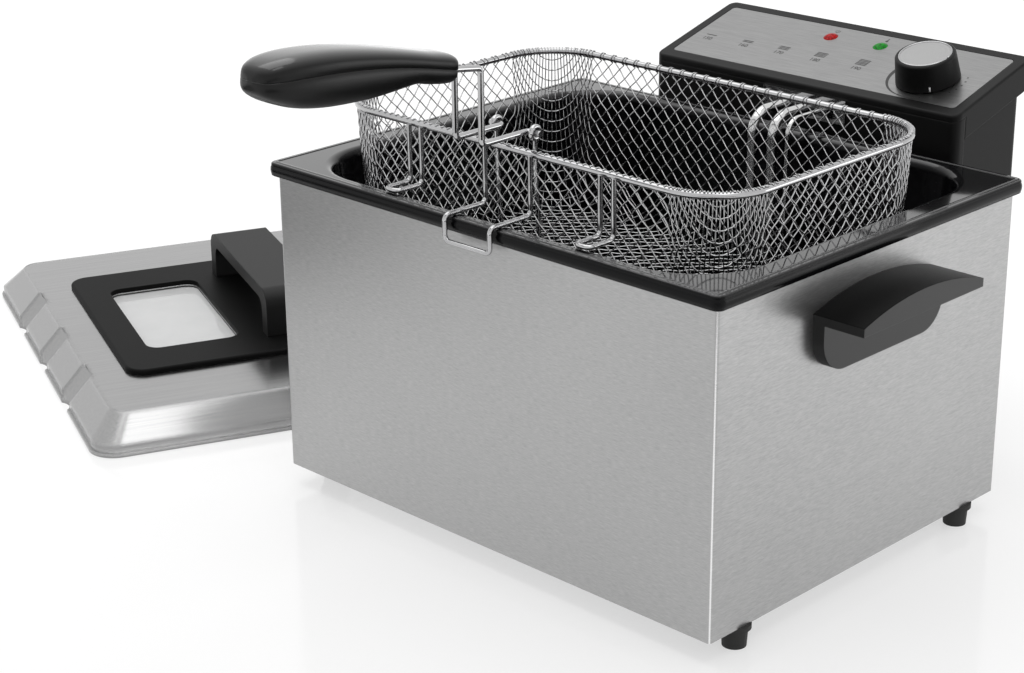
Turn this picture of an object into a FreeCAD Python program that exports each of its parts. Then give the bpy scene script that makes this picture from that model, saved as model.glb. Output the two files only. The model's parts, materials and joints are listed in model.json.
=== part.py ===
import FreeCAD, Part
import math
import os

# Deep fryer with a lift-out control unit, a hung basket and a loose lid.
# Millimetres. +X runs along the long side, the front faces -Y and +Z is up. The sizes are
# measured from the floor at the centre of the four feet, and the finished parts are moved
# so that the origin lies at the centre of the front right foot's underside.

V = FreeCAD.Vector
UP = V(0, 0, 1)
RIGHT = V(1, 0, 0)
BACK = V(0, 1, 0)

# How close two lengths are to count as the same, and a length beyond the whole fryer
SAME = 1e-3
BEYOND = 400.0

# How far a cutter runs past a face, and a blind hole past the end of its screw
OVERRUN = 1.0
HOLE_SPARE = 1.0

# Steel housing
HOUSING_WIDTH = 350.0
HOUSING_DEPTH = 274.0
STEEL_HEIGHT = 194.0
HOUSING_SHEET = 1.0
HOUSING_FOLD_RADIUS = 2.5
BOTTOM_FLANGE = 26.0
BASE_SHEET = 1.2
BASE_CLEARANCE = 0.5
VENT_LENGTH = 40.0
VENT_WIDTH = 4.0
VENT_PITCH = 12.0
VENT_COUNT = 9
VENT_END_SHARE = 0.49

# Feet and their screws
FOOT_HEIGHT = 14.0
FOOT_COLLAR_DIAMETER = 19.0
FOOT_COLLAR_HEIGHT = 3.0
FOOT_BODY_DIAMETER = 15.5
FOOT_TIP_DIAMETER = 14.0
FOOT_INSET_X = 7.0
FOOT_INSET_Y = 30.0
FOOT_SCREW_DIAMETER = 4.0
FOOT_SCREW_DEPTH = 7.0
SCREW_HEAD_DIAMETER = 8.0
SCREW_HEAD_HEIGHT = 2.5
SCREW_CLEARANCE = 0.1

# Carry handles
CARRY_LENGTH = 112.0
CARRY_PLATE_THICKNESS = 8.0
CARRY_PLATE_HEIGHT = 29.5
CARRY_PLATE_CORNER = 20.0
CARRY_REACH = 34.0
CARRY_LEDGE_DROP = 38.0
CARRY_END_THICKNESS = 5.0
CARRY_CROWN = 9.0
CARRY_WALL = 3.0
CARRY_SCREW_SPACING = 64.0
CARRY_SCREW_DEPTH = 6.0

# Inner pot
POT_SHEET = 1.5
RIM_OVERHANG = 4.0
LIP_HEIGHT = 8.0
RIM_CORNER_RADIUS = 5.0
RIM_EDGE_RADIUS = 1.2
FLANGE_SIDE = 19.0
FLANGE_ENDS = 12.0
POT_CORNER_RADIUS = 45.0
POT_DEPTH = 165.0
POT_DRAFT = 3.0
POT_FLOOR_RADIUS = 25.0
POT_MOUTH_RADIUS = 5.0

# Guide rails on the rear wall
RAIL_SPACING = 150.0
RAIL_WIDTH = 24.0
RAIL_DEPTH = 11.0
RAIL_SHEET = 1.5
RAIL_LENGTH = 76.0
RAIL_DROP = 20.0
RAIL_CLEARANCE = 0.5
RIVET_DIAMETER = 4.0
RIVET_HEAD_DIAMETER = 8.0
RIVET_HEAD_HEIGHT = 1.5

# Control unit
CONTROL_WIDTH = 243.0
CONTROL_GAP = 16.0
CONTROL_DEPTH = 82.0
CONTROL_DROP = 98.0
CONTROL_CORNER_RADIUS = 6.0
COVER_DEPTH = 9.5
CASE_INSET = 4.5
CASE_WALL = 2.5
BEZEL_CLEARANCE = 0.4
BEZEL_PLATE = 3.0
BEZEL_SKIRT = 18.0
BEZEL_EDGE_RADIUS = 1.5
PANEL_RISE = 35.7
PANEL_TILT = 15.5
PANEL_SIDE_BORDER = 8.0
PANEL_END_BORDER = 8.5
PANEL_CORNER_RADIUS = 3.0
PANEL_SHEET = 1.2
PANEL_FIT = 0.2
CLAW_WIDTH = 3.0
CLAW_TOP = 3.0
CASE_SCREW_DIAMETER = 3.0
CASE_SCREW_HEAD = 6.0
CASE_SCREW_HEAD_HEIGHT = 2.0
CASE_SCREW_GRIP = 5.5
CASE_BOSS_DIAMETER = 8.0
CASE_SCREW_INSET = 21.5
CASE_SCREW_LOW = 14.0
CASE_SCREW_HIGH = 87.0

# Knob and thermostat, placed on the sloping panel
KNOB_X = 76.0
KNOB_SLOPE = -7.0
KNOB_DIAMETER = 41.0
KNOB_TOP_DIAMETER = 38.0
KNOB_HEIGHT = 17.0
KNOB_GAP = 0.8
KNOB_WALL = 2.5
KNOB_CAP_DIAMETER = 33.0
KNOB_CAP_THICKNESS = 1.0
KNOB_HUB_DIAMETER = 12.0
SPINDLE_DIAMETER = 6.0
SPINDLE_CLEARANCE = 0.05
SPINDLE_HOLE_CLEARANCE = 0.6
SPINDLE_FLAT = 1.5
SPINDLE_ENGAGEMENT = 11.0
THERMOSTAT_WIDTH = 34.0
THERMOSTAT_HEIGHT = 26.0
THERMOSTAT_BORE_DEPTH = 12.0

# Lamps
LAMP_X = 20.0
LAMP_SLOPE = 20.0
LAMP_DIAMETER = 10.0
LAMP_DOME = 1.8
LAMP_STEM_DIAMETER = 8.0
LAMP_STEM_CLEARANCE = 0.1
LAMP_HOLDER_DIAMETER = 11.0
LAMP_HOLDER_HEIGHT = 14.0

# Heating element
TUBE_DIAMETER = 6.5
TUBE_BEND = 14.0
RISER_ARCH = 20.0
RISER_X = 6.0
RISER_SPACING = 16.0
RISER_GAP = 19.0
TUBE_EXIT_RISE = 13.0
TUBE_ENTRY = 12.0
TUBE_HOLE_CLEARANCE = 0.2
LOOP_LEVEL = 13.0
LOOP_RUNS = 6
LOOP_SIDE_GAP = 30.0
LOOP_FRONT_GAP = 34.0
LOOP_BACK_GAP = 49.0
LOOP_RETURN = 35.0
ELEMENT_PLATE_WIDTH = 66.0
ELEMENT_PLATE_HEIGHT = 16.0
ELEMENT_PLATE_SHEET = 1.5
SUPPORT_BAR_WIDTH = 12.0
SUPPORT_BAR_SHEET = 1.5
SUPPORT_INSET = 35.0
SUPPORT_SPACING = 70.0
SENSOR_TUBE_DIAMETER = 3.0
SENSOR_BULB_DIAMETER = 6.0
SENSOR_BULB_LENGTH = 70.0
SENSOR_OFFSET_X = 20.0
SENSOR_LIFT = 12.0

# Parts inside the control unit
CUTOUT_WIDTH = 20.0
CUTOUT_DEPTH = 22.0
CUTOUT_X = -60.0
CUTOUT_RISE = 57.0
RESET_DIAMETER = 8.0
RESET_TRAVEL = 2.0
RESET_PROUD = 2.5
RESET_CLEARANCE = 0.3
RESET_STEM = 9.0
TERMINAL_WIDTH = 36.0
TERMINAL_DEPTH = 20.0
TERMINAL_HEIGHT = 16.0
TERMINAL_BORE = 4.0
SWITCH_WIDTH = 28.0
SWITCH_DEPTH = 11.0
SWITCH_HEIGHT = 16.0
SWITCH_X = 70.0
GLAND_BORE = 7.5
GLAND_DIAMETER = 12.0
GLAND_FLANGE_DIAMETER = 18.0
GLAND_FLANGE = 3.0
GLAND_X = 0.0
GLAND_RISE = 32.0

# Basket, hung on the front of the pot's rim
BASKET_SIDE_GAP = 6.0
BASKET_FRONT_GAP = 20.0
BASKET_REAR_GAP = 44.0
BASKET_CORNER_RADIUS = 38.0
BASKET_RIM_RISE = 36.5
BASKET_HEIGHT = 106.0
BASKET_DRAFT = 3.0
BASKET_RIM_WIRE = 4.0
MESH_SHEET = 1.2
MESH_BAR = 2.4
MESH_PITCH = 23.0
MESH_RISE = 24.0
FLOOR_PITCH = 30.0
FLOOR_RISE = 32.0
CORNER_COLUMNS = 3
FORM_WIRE = 3.0
FORM_BEND = 3.5
REST_GAP = 0.3
REST_SPACING = 152.0
REST_WIDTH = 10.0
REST_REACH = 20.0
HOOK_WIDTH = 36.0
HOOK_REACH = 4.0
HOOK_DROP = 15.0

# Basket handle
HANDLE_WIRE = 3.6
HANDLE_BEND = 3.0
HANDLE_ARM_SPACING = 20.6
PIVOT_LIFT = 11.5
PIVOT_CLEARANCE = 0.1
PIVOT_SIDE_GAP = 0.4
PIN_PROUD = 3.0
EYE_UPRIGHT = 60.0
ARM_REACH = 37.0
RISE_HEIGHT = 43.0
GRIP_TILT = 8.5
GRIP_LENGTH = 148.0
GRIP_START = 8.0
GRIP_WIRE_DEPTH = 95.0
GRIP_ROOT_HALF_HEIGHT = 6.5
GRIP_ROOT_HALF_WIDTH = 14.5
GRIP_BODY_HALF_HEIGHT = 14.0
GRIP_BODY_HALF_WIDTH = 15.5
GRIP_DROP = 2.5
GRIP_NECK_SHARE = 0.12
GRIP_NECK_HEIGHT_SHARE = 0.75
# From the grip's middle to its end: share of its length, of its half height and of its half width
GRIP_SWELL = ((0.5, 1.0, 1.0), (0.85, 0.97, 1.0), (0.96, 0.75, 0.75), (1.0, 0.3, 0.35))
GRIP_CHANNEL_CLEARANCE = 0.1
GRIP_SCREW_DIAMETER = 3.0
GRIP_SCREW_HEAD = 6.0
GRIP_SCREW_HEAD_HEIGHT = 2.0
GRIP_SCREW_LENGTH = 16.0
GRIP_SCREW_SHARES = (0.4, 0.8)

# Lid, lying on the floor to the left of the fryer. Its lip goes round the pot's rim.
LID_OVERLAP = 3.0
LID_HEIGHT = 25.0
LID_LIP = 8.0
LID_SHOULDER = 16.0
LID_SHEET = 1.0
LID_CORNER_RADIUS = 18.0
LID_TOP_RADIUS = 12.0
LID_BEAD = 1.6
LID_BEAD_HEIGHT = 2.4
LID_YAW = -23.4
LID_STANDOFF = 48.6
FLUTE_RADIUS = 16.0
FLUTE_LIFT = 9.0
FLUTE_START = 1.0
FLUTE_LENGTH = 60.0
FLUTE_SPACING = 81.0
LID_BEZEL_SIDE = 76.0
LID_BEZEL_INSET = 41.0
LID_BEZEL_DEPTH = 175.0
LID_BEZEL_THICKNESS = 3.5
LID_BEZEL_RADIUS = 14.0
WINDOW_LENGTH = 134.0
WINDOW_DEPTH = 68.0
WINDOW_BORDER = 23.0
WINDOW_RADIUS = 10.0
WINDOW_GLASS = 3.0
WINDOW_LAP = 5.0
SEAL_THICKNESS = 1.0
BRIDGE_LENGTH = 156.0
BRIDGE_WIDTH = 42.0
BRIDGE_HEIGHT = 34.0
BRIDGE_THICKNESS = 9.0
BRIDGE_SHOULDER = 12.0
BRIDGE_LEG = 13.0
BRIDGE_GAP = 17.0
BRIDGE_SCREW_DIAMETER = 4.0
BRIDGE_SCREW_DEPTH = 12.0

# Levels and edges that follow from the sizes above
STEEL_BOTTOM = FOOT_HEIGHT
RIM_TOP = FOOT_HEIGHT + STEEL_HEIGHT + LIP_HEIGHT
STEEL_TOP = RIM_TOP - POT_SHEET
LIP_BOTTOM = RIM_TOP - LIP_HEIGHT
SIDE_X = HOUSING_WIDTH / 2
REAR_Y = HOUSING_DEPTH / 2
RIM_X = SIDE_X + RIM_OVERHANG
RIM_Y = REAR_Y + RIM_OVERHANG
MOUTH_X = RIM_X - FLANGE_SIDE
MOUTH_Y = RIM_Y - FLANGE_ENDS
POT_FLOOR_Z = RIM_TOP - POT_DEPTH
FOOT_X = SIDE_X - FOOT_INSET_X
FOOT_Y = REAR_Y - FOOT_INSET_Y
CARRY_LEDGE_Z = RIM_TOP - CARRY_LEDGE_DROP
RAIL_TOP_Z = RIM_TOP - RAIL_DROP
RAIL_BOTTOM_Z = RAIL_TOP_Z - RAIL_LENGTH
CONTROL_FRONT_Y = REAR_Y + CONTROL_GAP
CONTROL_BOTTOM_Z = RIM_TOP - CONTROL_DROP
CONTROL_BACK_Y = CONTROL_FRONT_Y + CONTROL_DEPTH
CONTROL_SEAM_Y = CONTROL_FRONT_Y + COVER_DEPTH
PANEL_CENTRE_Y = CONTROL_FRONT_Y + CONTROL_DEPTH / 2
PANEL_CENTRE_Z = RIM_TOP + PANEL_RISE
PANEL_WIDTH = CONTROL_WIDTH - 2 * PANEL_SIDE_BORDER
PANEL_DEPTH = CONTROL_DEPTH / math.cos(math.radians(PANEL_TILT)) - 2 * PANEL_END_BORDER
CASE_X = CONTROL_WIDTH / 2 - CASE_INSET
CASE_BACK_Y = CONTROL_BACK_Y - CASE_INSET
PANEL_UNDERSIDE = -PANEL_SHEET - BEZEL_PLATE
CASE_SCREW_X = CONTROL_WIDTH / 2 - CASE_SCREW_INSET
CUTOUT_Z = CONTROL_BOTTOM_Z + CUTOUT_RISE
GLAND_Z = CONTROL_BOTTOM_Z + GLAND_RISE
TUBE_EXIT_Z = RIM_TOP + TUBE_EXIT_RISE
RISER_Y = MOUTH_Y - RISER_GAP
LOOP_FRONT_Y = -MOUTH_Y + LOOP_FRONT_GAP
LOOP_BACK_Y = MOUTH_Y - LOOP_BACK_GAP
LOOP_INNER_Y = LOOP_BACK_Y - LOOP_RETURN
LOOP_PITCH = 2 * (MOUTH_X - LOOP_SIDE_GAP) / (LOOP_RUNS - 1)
LOOP_Z = POT_FLOOR_Z + LOOP_LEVEL
SENSOR_X = RISER_X + SENSOR_OFFSET_X
BASKET_HALF_WIDTH = MOUTH_X - BASKET_SIDE_GAP
BASKET_FRONT_Y = -MOUTH_Y + BASKET_FRONT_GAP
BASKET_REAR_Y = MOUTH_Y - BASKET_REAR_GAP
BASKET_RIM_Z = RIM_TOP + BASKET_RIM_RISE
RIM_WIRE_RADIUS = BASKET_RIM_WIRE / 2
FORM_RADIUS = FORM_WIRE / 2
BASKET_SLOPE = math.tan(math.radians(BASKET_DRAFT))
BASKET_WALL_TOP = BASKET_RIM_Z - RIM_WIRE_RADIUS
BASKET_FLOOR_Z = BASKET_RIM_Z - BASKET_HEIGHT
REST_Z = RIM_TOP + FORM_RADIUS + REST_GAP
PIVOT_Y = BASKET_FRONT_Y + RIM_WIRE_RADIUS + FORM_RADIUS
PIVOT_Z = BASKET_RIM_Z + PIVOT_LIFT
LID_LENGTH = 2 * (RIM_X + LID_OVERLAP)
LID_DEPTH = 2 * (RIM_Y + LID_OVERLAP)
TOP_LENGTH = LID_LENGTH - 2 * LID_SHOULDER
TOP_DEPTH = LID_DEPTH - 2 * LID_SHOULDER
LID_CENTRE_X = -SIDE_X - LID_STANDOFF - LID_LENGTH / 2
LID_BEZEL_LENGTH = LID_LENGTH - 2 * LID_BEZEL_SIDE
LID_BEZEL_FRONT = -LID_DEPTH / 2 + LID_BEZEL_INSET
LID_BEZEL_TOP = LID_HEIGHT + LID_BEZEL_THICKNESS
WINDOW_FRONT = LID_BEZEL_FRONT + WINDOW_BORDER
WINDOW_BACK = WINDOW_FRONT + WINDOW_DEPTH
BRIDGE_FRONT = WINDOW_BACK + BRIDGE_GAP
BRIDGE_CENTRE = BRIDGE_FRONT + BRIDGE_WIDTH / 2

panel_placement = FreeCAD.Placement(
    V(0, PANEL_CENTRE_Y, PANEL_CENTRE_Z), FreeCAD.Rotation(RIGHT, PANEL_TILT))
lid_placement = FreeCAD.Placement(V(LID_CENTRE_X, 0, 0), FreeCAD.Rotation(UP, LID_YAW))
origin = V(FOOT_X, -FOOT_Y, 0)


def block(x0, x1, y0, y1, z0, z1):
    return Part.makeBox(x1 - x0, y1 - y0, z1 - z0, V(x0, y0, z0))


def cylinder(diameter, start, end):
    axis = end - start
    return Part.makeCylinder(diameter / 2, axis.Length, start, axis)


def clear_hole(diameter, start, end):
    """The cutter for a hole that clears a screw, pin or tube of the given diameter."""
    return cylinder(diameter + 2 * SCREW_CLEARANCE, start, end)


def upper_edges(shape, height):
    """The edges of a shape that lie at or above a height."""
    return [edge for edge in shape.Edges if edge.BoundBox.ZMin > height - SAME]


def rounded_outline(x0, x1, y0, y1, radius, z):
    """A rectangle with round corners, as one closed wire at height z."""
    bow = radius * (1 - math.sqrt(0.5))
    lines = [
        (V(x0 + radius, y0, z), V(x1 - radius, y0, z)),
        (V(x1, y0 + radius, z), V(x1, y1 - radius, z)),
        (V(x1 - radius, y1, z), V(x0 + radius, y1, z)),
        (V(x0, y1 - radius, z), V(x0, y0 + radius, z)),
    ]
    middles = [V(x1 - bow, y0 + bow, z), V(x1 - bow, y1 - bow, z),
               V(x0 + bow, y1 - bow, z), V(x0 + bow, y0 + bow, z)]
    edges = []
    for index, (start, end) in enumerate(lines):
        following = lines[(index + 1) % 4][0]
        edges.append(Part.makeLine(start, end))
        edges.append(Part.Arc(end, middles[index], following).toShape())
    return Part.Wire(edges)


def rounded_block(x0, x1, y0, y1, z0, z1, radius):
    outline = rounded_outline(x0, x1, y0, y1, radius, z0)
    return Part.Face(outline).extrude(V(0, 0, z1 - z0))


def drafted_block(lower, upper):
    """A solid between two round-cornered rectangles (x0, x1, y0, y1, radius, z)."""
    return Part.makeLoft([rounded_outline(*lower), rounded_outline(*upper)], True, True)


def rounded_path(points, bend):
    """A polyline with each corner replaced by an arc of the given radius."""
    edges = []
    start = points[0]
    for before, corner, after in zip(points, points[1:], points[2:]):
        inward = (before - corner).normalize()
        outward = (after - corner).normalize()
        half = inward.getAngle(outward) / 2
        reach = bend / math.tan(half)
        first = corner + inward * reach
        last = corner + outward * reach
        centre = corner + (inward + outward).normalize() * (bend / math.sin(half))
        middle = centre + (corner - centre).normalize() * bend
        if (first - start).Length > SAME:
            edges.append(Part.makeLine(start, first))
        edges.append(Part.Arc(first, middle, last).toShape())
        start = last
    edges.append(Part.makeLine(start, points[-1]))
    return Part.Wire(edges)


def rod(points, diameter, bend):
    """A round bar bent along a list of points."""
    path = rounded_path(points, bend)
    profile = Part.Wire(Part.makeCircle(diameter / 2, points[0], points[1] - points[0]))
    return path.makePipeShell([profile], True, False)


def ring_rod(outline, diameter, start, direction):
    """A round bar bent along a closed outline."""
    profile = Part.Wire(Part.makeCircle(diameter / 2, start, direction))
    return outline.makePipeShell([profile], True, False)


def mirror_x(shape):
    return shape.mirror(V(0, 0, 0), RIGHT)


def on_panel(shape):
    shape.Placement = panel_placement.multiply(shape.Placement)
    return shape


def on_lid(shape):
    shape.Placement = lid_placement.multiply(shape.Placement)
    return shape


def panel_cylinder(diameter, x, slope, low, high):
    return on_panel(cylinder(diameter, V(x, slope, low), V(x, slope, high)))


def below_panel(depth):
    """Everything under the plane that lies a given depth below the panel's face."""
    return on_panel(block(-BEYOND, BEYOND, -BEYOND, BEYOND, -BEYOND, -depth))


def screw_down(x, y, z, diameter, depth, head_diameter, head_height):
    """A screw whose head stands on height z and whose shank points down."""
    head = cylinder(head_diameter, V(x, y, z), V(x, y, z + head_height))
    return head.fuse(cylinder(diameter, V(x, y, z), V(x, y, z - depth)))


def foot_places():
    return [(x, y) for x in (-FOOT_X, FOOT_X) for y in (-FOOT_Y, FOOT_Y)]


def rail_places():
    return (-RAIL_SPACING / 2, RAIL_SPACING / 2)


def rivet_places():
    inset = RAIL_WIDTH / 2
    heights = (RAIL_BOTTOM_Z + inset, RAIL_TOP_Z - inset)
    return [(x, z) for x in rail_places() for z in heights]


def carry_screw_places():
    z = CARRY_LEDGE_Z - CARRY_PLATE_HEIGHT / 2
    return [(y, z) for y in (-CARRY_SCREW_SPACING / 2, CARRY_SCREW_SPACING / 2)]


def make_housing_shell():
    sheet = HOUSING_SHEET
    outer = rounded_block(-SIDE_X, SIDE_X, -REAR_Y, REAR_Y, STEEL_BOTTOM, STEEL_TOP,
                          HOUSING_FOLD_RADIUS)
    inner = rounded_block(-SIDE_X + sheet, SIDE_X - sheet, -REAR_Y + sheet, REAR_Y - sheet,
                          STEEL_BOTTOM + sheet, STEEL_TOP, HOUSING_FOLD_RADIUS - sheet)
    floor_opening = block(-SIDE_X + BOTTOM_FLANGE, SIDE_X - BOTTOM_FLANGE,
                          -REAR_Y + BOTTOM_FLANGE, REAR_Y - BOTTOM_FLANGE,
                          STEEL_BOTTOM, STEEL_BOTTOM + sheet)
    holes = [inner, floor_opening]
    for x, y in foot_places():
        holes.append(clear_hole(FOOT_SCREW_DIAMETER, V(x, y, STEEL_BOTTOM),
                                V(x, y, STEEL_BOTTOM + sheet)))
    for y, z in carry_screw_places():
        holes.append(clear_hole(FOOT_SCREW_DIAMETER, V(-SIDE_X, y, z), V(SIDE_X, y, z)))
    for x, z in rivet_places():
        holes.append(clear_hole(RIVET_DIAMETER, V(x, REAR_Y - sheet, z), V(x, REAR_Y, z)))
    return outer.cut(holes)


def make_base_plate():
    gap = HOUSING_SHEET + BASE_CLEARANCE
    low = STEEL_BOTTOM + HOUSING_SHEET
    top = low + BASE_SHEET
    plate = block(-SIDE_X + gap, SIDE_X - gap, -REAR_Y + gap, REAR_Y - gap, low, top)
    end_radius = VENT_END_SHARE * VENT_WIDTH
    cuts = []
    for row in range(VENT_COUNT):
        y0 = (row - (VENT_COUNT - 1) / 2) * VENT_PITCH - VENT_WIDTH / 2
        for middle in (-VENT_LENGTH, VENT_LENGTH):
            x0 = middle - VENT_LENGTH / 2
            cuts.append(rounded_block(x0, x0 + VENT_LENGTH, y0, y0 + VENT_WIDTH, low, top, end_radius))
    for x, y in foot_places():
        cuts.append(clear_hole(FOOT_SCREW_DIAMETER, V(x, y, low), V(x, y, top)))
    return plate.cut(cuts)


def make_feet():
    feet = []
    for x, y in foot_places():
        shoulder = STEEL_BOTTOM - FOOT_COLLAR_HEIGHT
        collar = cylinder(FOOT_COLLAR_DIAMETER, V(x, y, shoulder), V(x, y, STEEL_BOTTOM))
        body = Part.makeCone(FOOT_TIP_DIAMETER / 2, FOOT_BODY_DIAMETER / 2, shoulder, V(x, y, 0))
        bore_end = STEEL_BOTTOM - FOOT_SCREW_DEPTH - HOLE_SPARE
        bore = clear_hole(FOOT_SCREW_DIAMETER, V(x, y, bore_end), V(x, y, STEEL_BOTTOM))
        feet.append(collar.fuse(body).cut(bore))
    return Part.makeCompound(feet)


def make_foot_screws():
    seat = STEEL_BOTTOM + HOUSING_SHEET + BASE_SHEET
    depth = FOOT_SCREW_DEPTH + HOUSING_SHEET + BASE_SHEET
    return Part.makeCompound([
        screw_down(x, y, seat, FOOT_SCREW_DIAMETER, depth, SCREW_HEAD_DIAMETER, SCREW_HEAD_HEIGHT)
        for x, y in foot_places()])


def carry_arch(inset, x0, x1):
    """The arched ledge of a carry handle: a straight underside below a crowned top."""
    half = CARRY_LENGTH / 2 - inset
    top = CARRY_LEDGE_Z + CARRY_END_THICKNESS - inset
    crown = V(x0, 0, top + CARRY_CROWN)
    corners = [V(x0, half, top), V(x0, half, CARRY_LEDGE_Z),
               V(x0, -half, CARRY_LEDGE_Z), V(x0, -half, top)]
    edges = [Part.makeLine(a, b) for a, b in zip(corners, corners[1:])]
    edges.append(Part.Arc(corners[-1], crown, corners[0]).toShape())
    return Part.Face(Part.Wire(edges)).extrude(V(x1 - x0, 0, 0))


def make_carry_handle():
    half = CARRY_LENGTH / 2
    low = CARRY_LEDGE_Z - CARRY_PLATE_HEIGHT
    plate = block(SIDE_X, SIDE_X + CARRY_PLATE_THICKNESS, -half, half, low, CARRY_LEDGE_Z)
    lower_corners = [edge for edge in plate.Edges
                     if edge.BoundBox.ZMax < low + SAME and edge.BoundBox.YLength < SAME]
    plate = plate.makeFillet(CARRY_PLATE_CORNER, lower_corners)
    ledge = carry_arch(0, SIDE_X, SIDE_X + CARRY_REACH)
    hollow = carry_arch(CARRY_WALL, SIDE_X + CARRY_PLATE_THICKNESS, SIDE_X + CARRY_REACH - CARRY_WALL)
    handle = plate.fuse(ledge.cut(hollow)).removeSplitter()
    bore_end = SIDE_X + CARRY_SCREW_DEPTH + HOLE_SPARE
    bores = [clear_hole(FOOT_SCREW_DIAMETER, V(SIDE_X, y, z), V(bore_end, y, z))
             for y, z in carry_screw_places()]
    return handle.cut(bores)


def make_carry_handle_screws():
    screws = []
    for y, z in carry_screw_places():
        seat = SIDE_X - HOUSING_SHEET
        head = cylinder(SCREW_HEAD_DIAMETER, V(seat - SCREW_HEAD_HEIGHT, y, z), V(seat, y, z))
        shank = cylinder(FOOT_SCREW_DIAMETER, V(seat, y, z), V(SIDE_X + CARRY_SCREW_DEPTH, y, z))
        screw = head.fuse(shank)
        screws += [screw, mirror_x(screw)]
    return Part.makeCompound(screws)


def pot_bowl(grow):
    """The drafted bowl, grown outwards and downwards by the given amount."""
    taper = (POT_DEPTH + grow) * math.tan(math.radians(POT_DRAFT))
    x = MOUTH_X + grow
    y = MOUTH_Y + grow
    radius = POT_CORNER_RADIUS + grow
    lower = (-x + taper, x - taper, -y + taper, y - taper, radius - taper, POT_FLOOR_Z - grow)
    bowl = drafted_block(lower, (-x, x, -y, y, radius, RIM_TOP))
    floor_edges = [edge for edge in bowl.Edges if edge.BoundBox.ZMax < POT_FLOOR_Z - grow + SAME]
    return bowl.makeFillet(POT_FLOOR_RADIUS + grow, floor_edges)


def make_inner_pot():
    slab = rounded_block(-RIM_X, RIM_X, -RIM_Y, RIM_Y, LIP_BOTTOM, RIM_TOP, RIM_CORNER_RADIUS)
    slab = slab.makeFillet(RIM_EDGE_RADIUS, upper_edges(slab, RIM_TOP))
    inside = rounded_block(-RIM_X + POT_SHEET, RIM_X - POT_SHEET, -RIM_Y + POT_SHEET,
                           RIM_Y - POT_SHEET, LIP_BOTTOM, STEEL_TOP, RIM_CORNER_RADIUS - POT_SHEET)
    body = slab.cut(inside).fuse(pot_bowl(POT_SHEET))
    body = body.cut(pot_bowl(0)).removeSplitter()
    body = body.makeFillet(POT_MOUTH_RADIUS - POT_SHEET, mouth_edges(body, STEEL_TOP))
    return body.makeFillet(POT_MOUTH_RADIUS, mouth_edges(body, RIM_TOP))


def mouth_edges(body, height):
    """The edges at one height that run round the pot's mouth, inside the rim's outer edge."""
    limit_x = MOUTH_X + 2 * POT_SHEET
    limit_y = MOUTH_Y + 2 * POT_SHEET
    found = []
    for edge in body.Edges:
        box = edge.BoundBox
        level = abs(box.ZMin - height) < SAME and abs(box.ZMax - height) < SAME
        inside = max(box.XMax, -box.XMin) < limit_x and max(box.YMax, -box.YMin) < limit_y
        if level and inside:
            found.append(edge)
    return found


def make_guide_rails():
    rails = []
    for x in rail_places():
        half = RAIL_WIDTH / 2
        outer = block(x - half, x + half, REAR_Y, REAR_Y + RAIL_DEPTH, RAIL_BOTTOM_Z, RAIL_TOP_Z)
        channel = block(x - half + RAIL_SHEET, x + half - RAIL_SHEET, REAR_Y + RAIL_SHEET,
                        REAR_Y + RAIL_DEPTH, RAIL_BOTTOM_Z, RAIL_TOP_Z)
        holes = [clear_hole(RIVET_DIAMETER, V(x, REAR_Y, z), V(x, REAR_Y + RAIL_SHEET, z))
                 for place, z in rivet_places() if place == x]
        rails.append(outer.cut([channel] + holes))
    return Part.makeCompound(rails)


def make_rail_rivets():
    rivets = []
    for x, z in rivet_places():
        inner = REAR_Y - HOUSING_SHEET
        outer = REAR_Y + RAIL_SHEET
        shank = cylinder(RIVET_DIAMETER, V(x, inner, z), V(x, outer, z))
        heads = [cylinder(RIVET_HEAD_DIAMETER, V(x, inner - RIVET_HEAD_HEIGHT, z), V(x, inner, z)),
                 cylinder(RIVET_HEAD_DIAMETER, V(x, outer, z), V(x, outer + RIVET_HEAD_HEIGHT, z))]
        rivets.append(shank.fuse(heads))
    return Part.makeCompound(rivets)


def case_screw_places():
    heights = (CONTROL_BOTTOM_Z + CASE_SCREW_LOW, CONTROL_BOTTOM_Z + CASE_SCREW_HIGH)
    return [(x, z) for x in (-CASE_SCREW_X, CASE_SCREW_X) for z in heights]


def case_bosses(front, back):
    return [cylinder(CASE_BOSS_DIAMETER, V(x, front, z), V(x, back, z)) for x, z in case_screw_places()]


def case_screw_holes(front, back):
    return [clear_hole(CASE_SCREW_DIAMETER, V(x, front, z), V(x, back, z))
            for x, z in case_screw_places()]


def tube_places():
    return (RISER_X - RISER_SPACING / 2, RISER_X + RISER_SPACING / 2)


def tube_holes(front, back, clearance):
    """Holes through a wall for the two risers and the sensor's tube."""
    places = [(x, TUBE_DIAMETER) for x in tube_places()] + [(SENSOR_X, SENSOR_TUBE_DIAMETER)]
    return [cylinder(diameter + 2 * clearance, V(x, front, TUBE_EXIT_Z), V(x, back, TUBE_EXIT_Z))
            for x, diameter in places]


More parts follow.
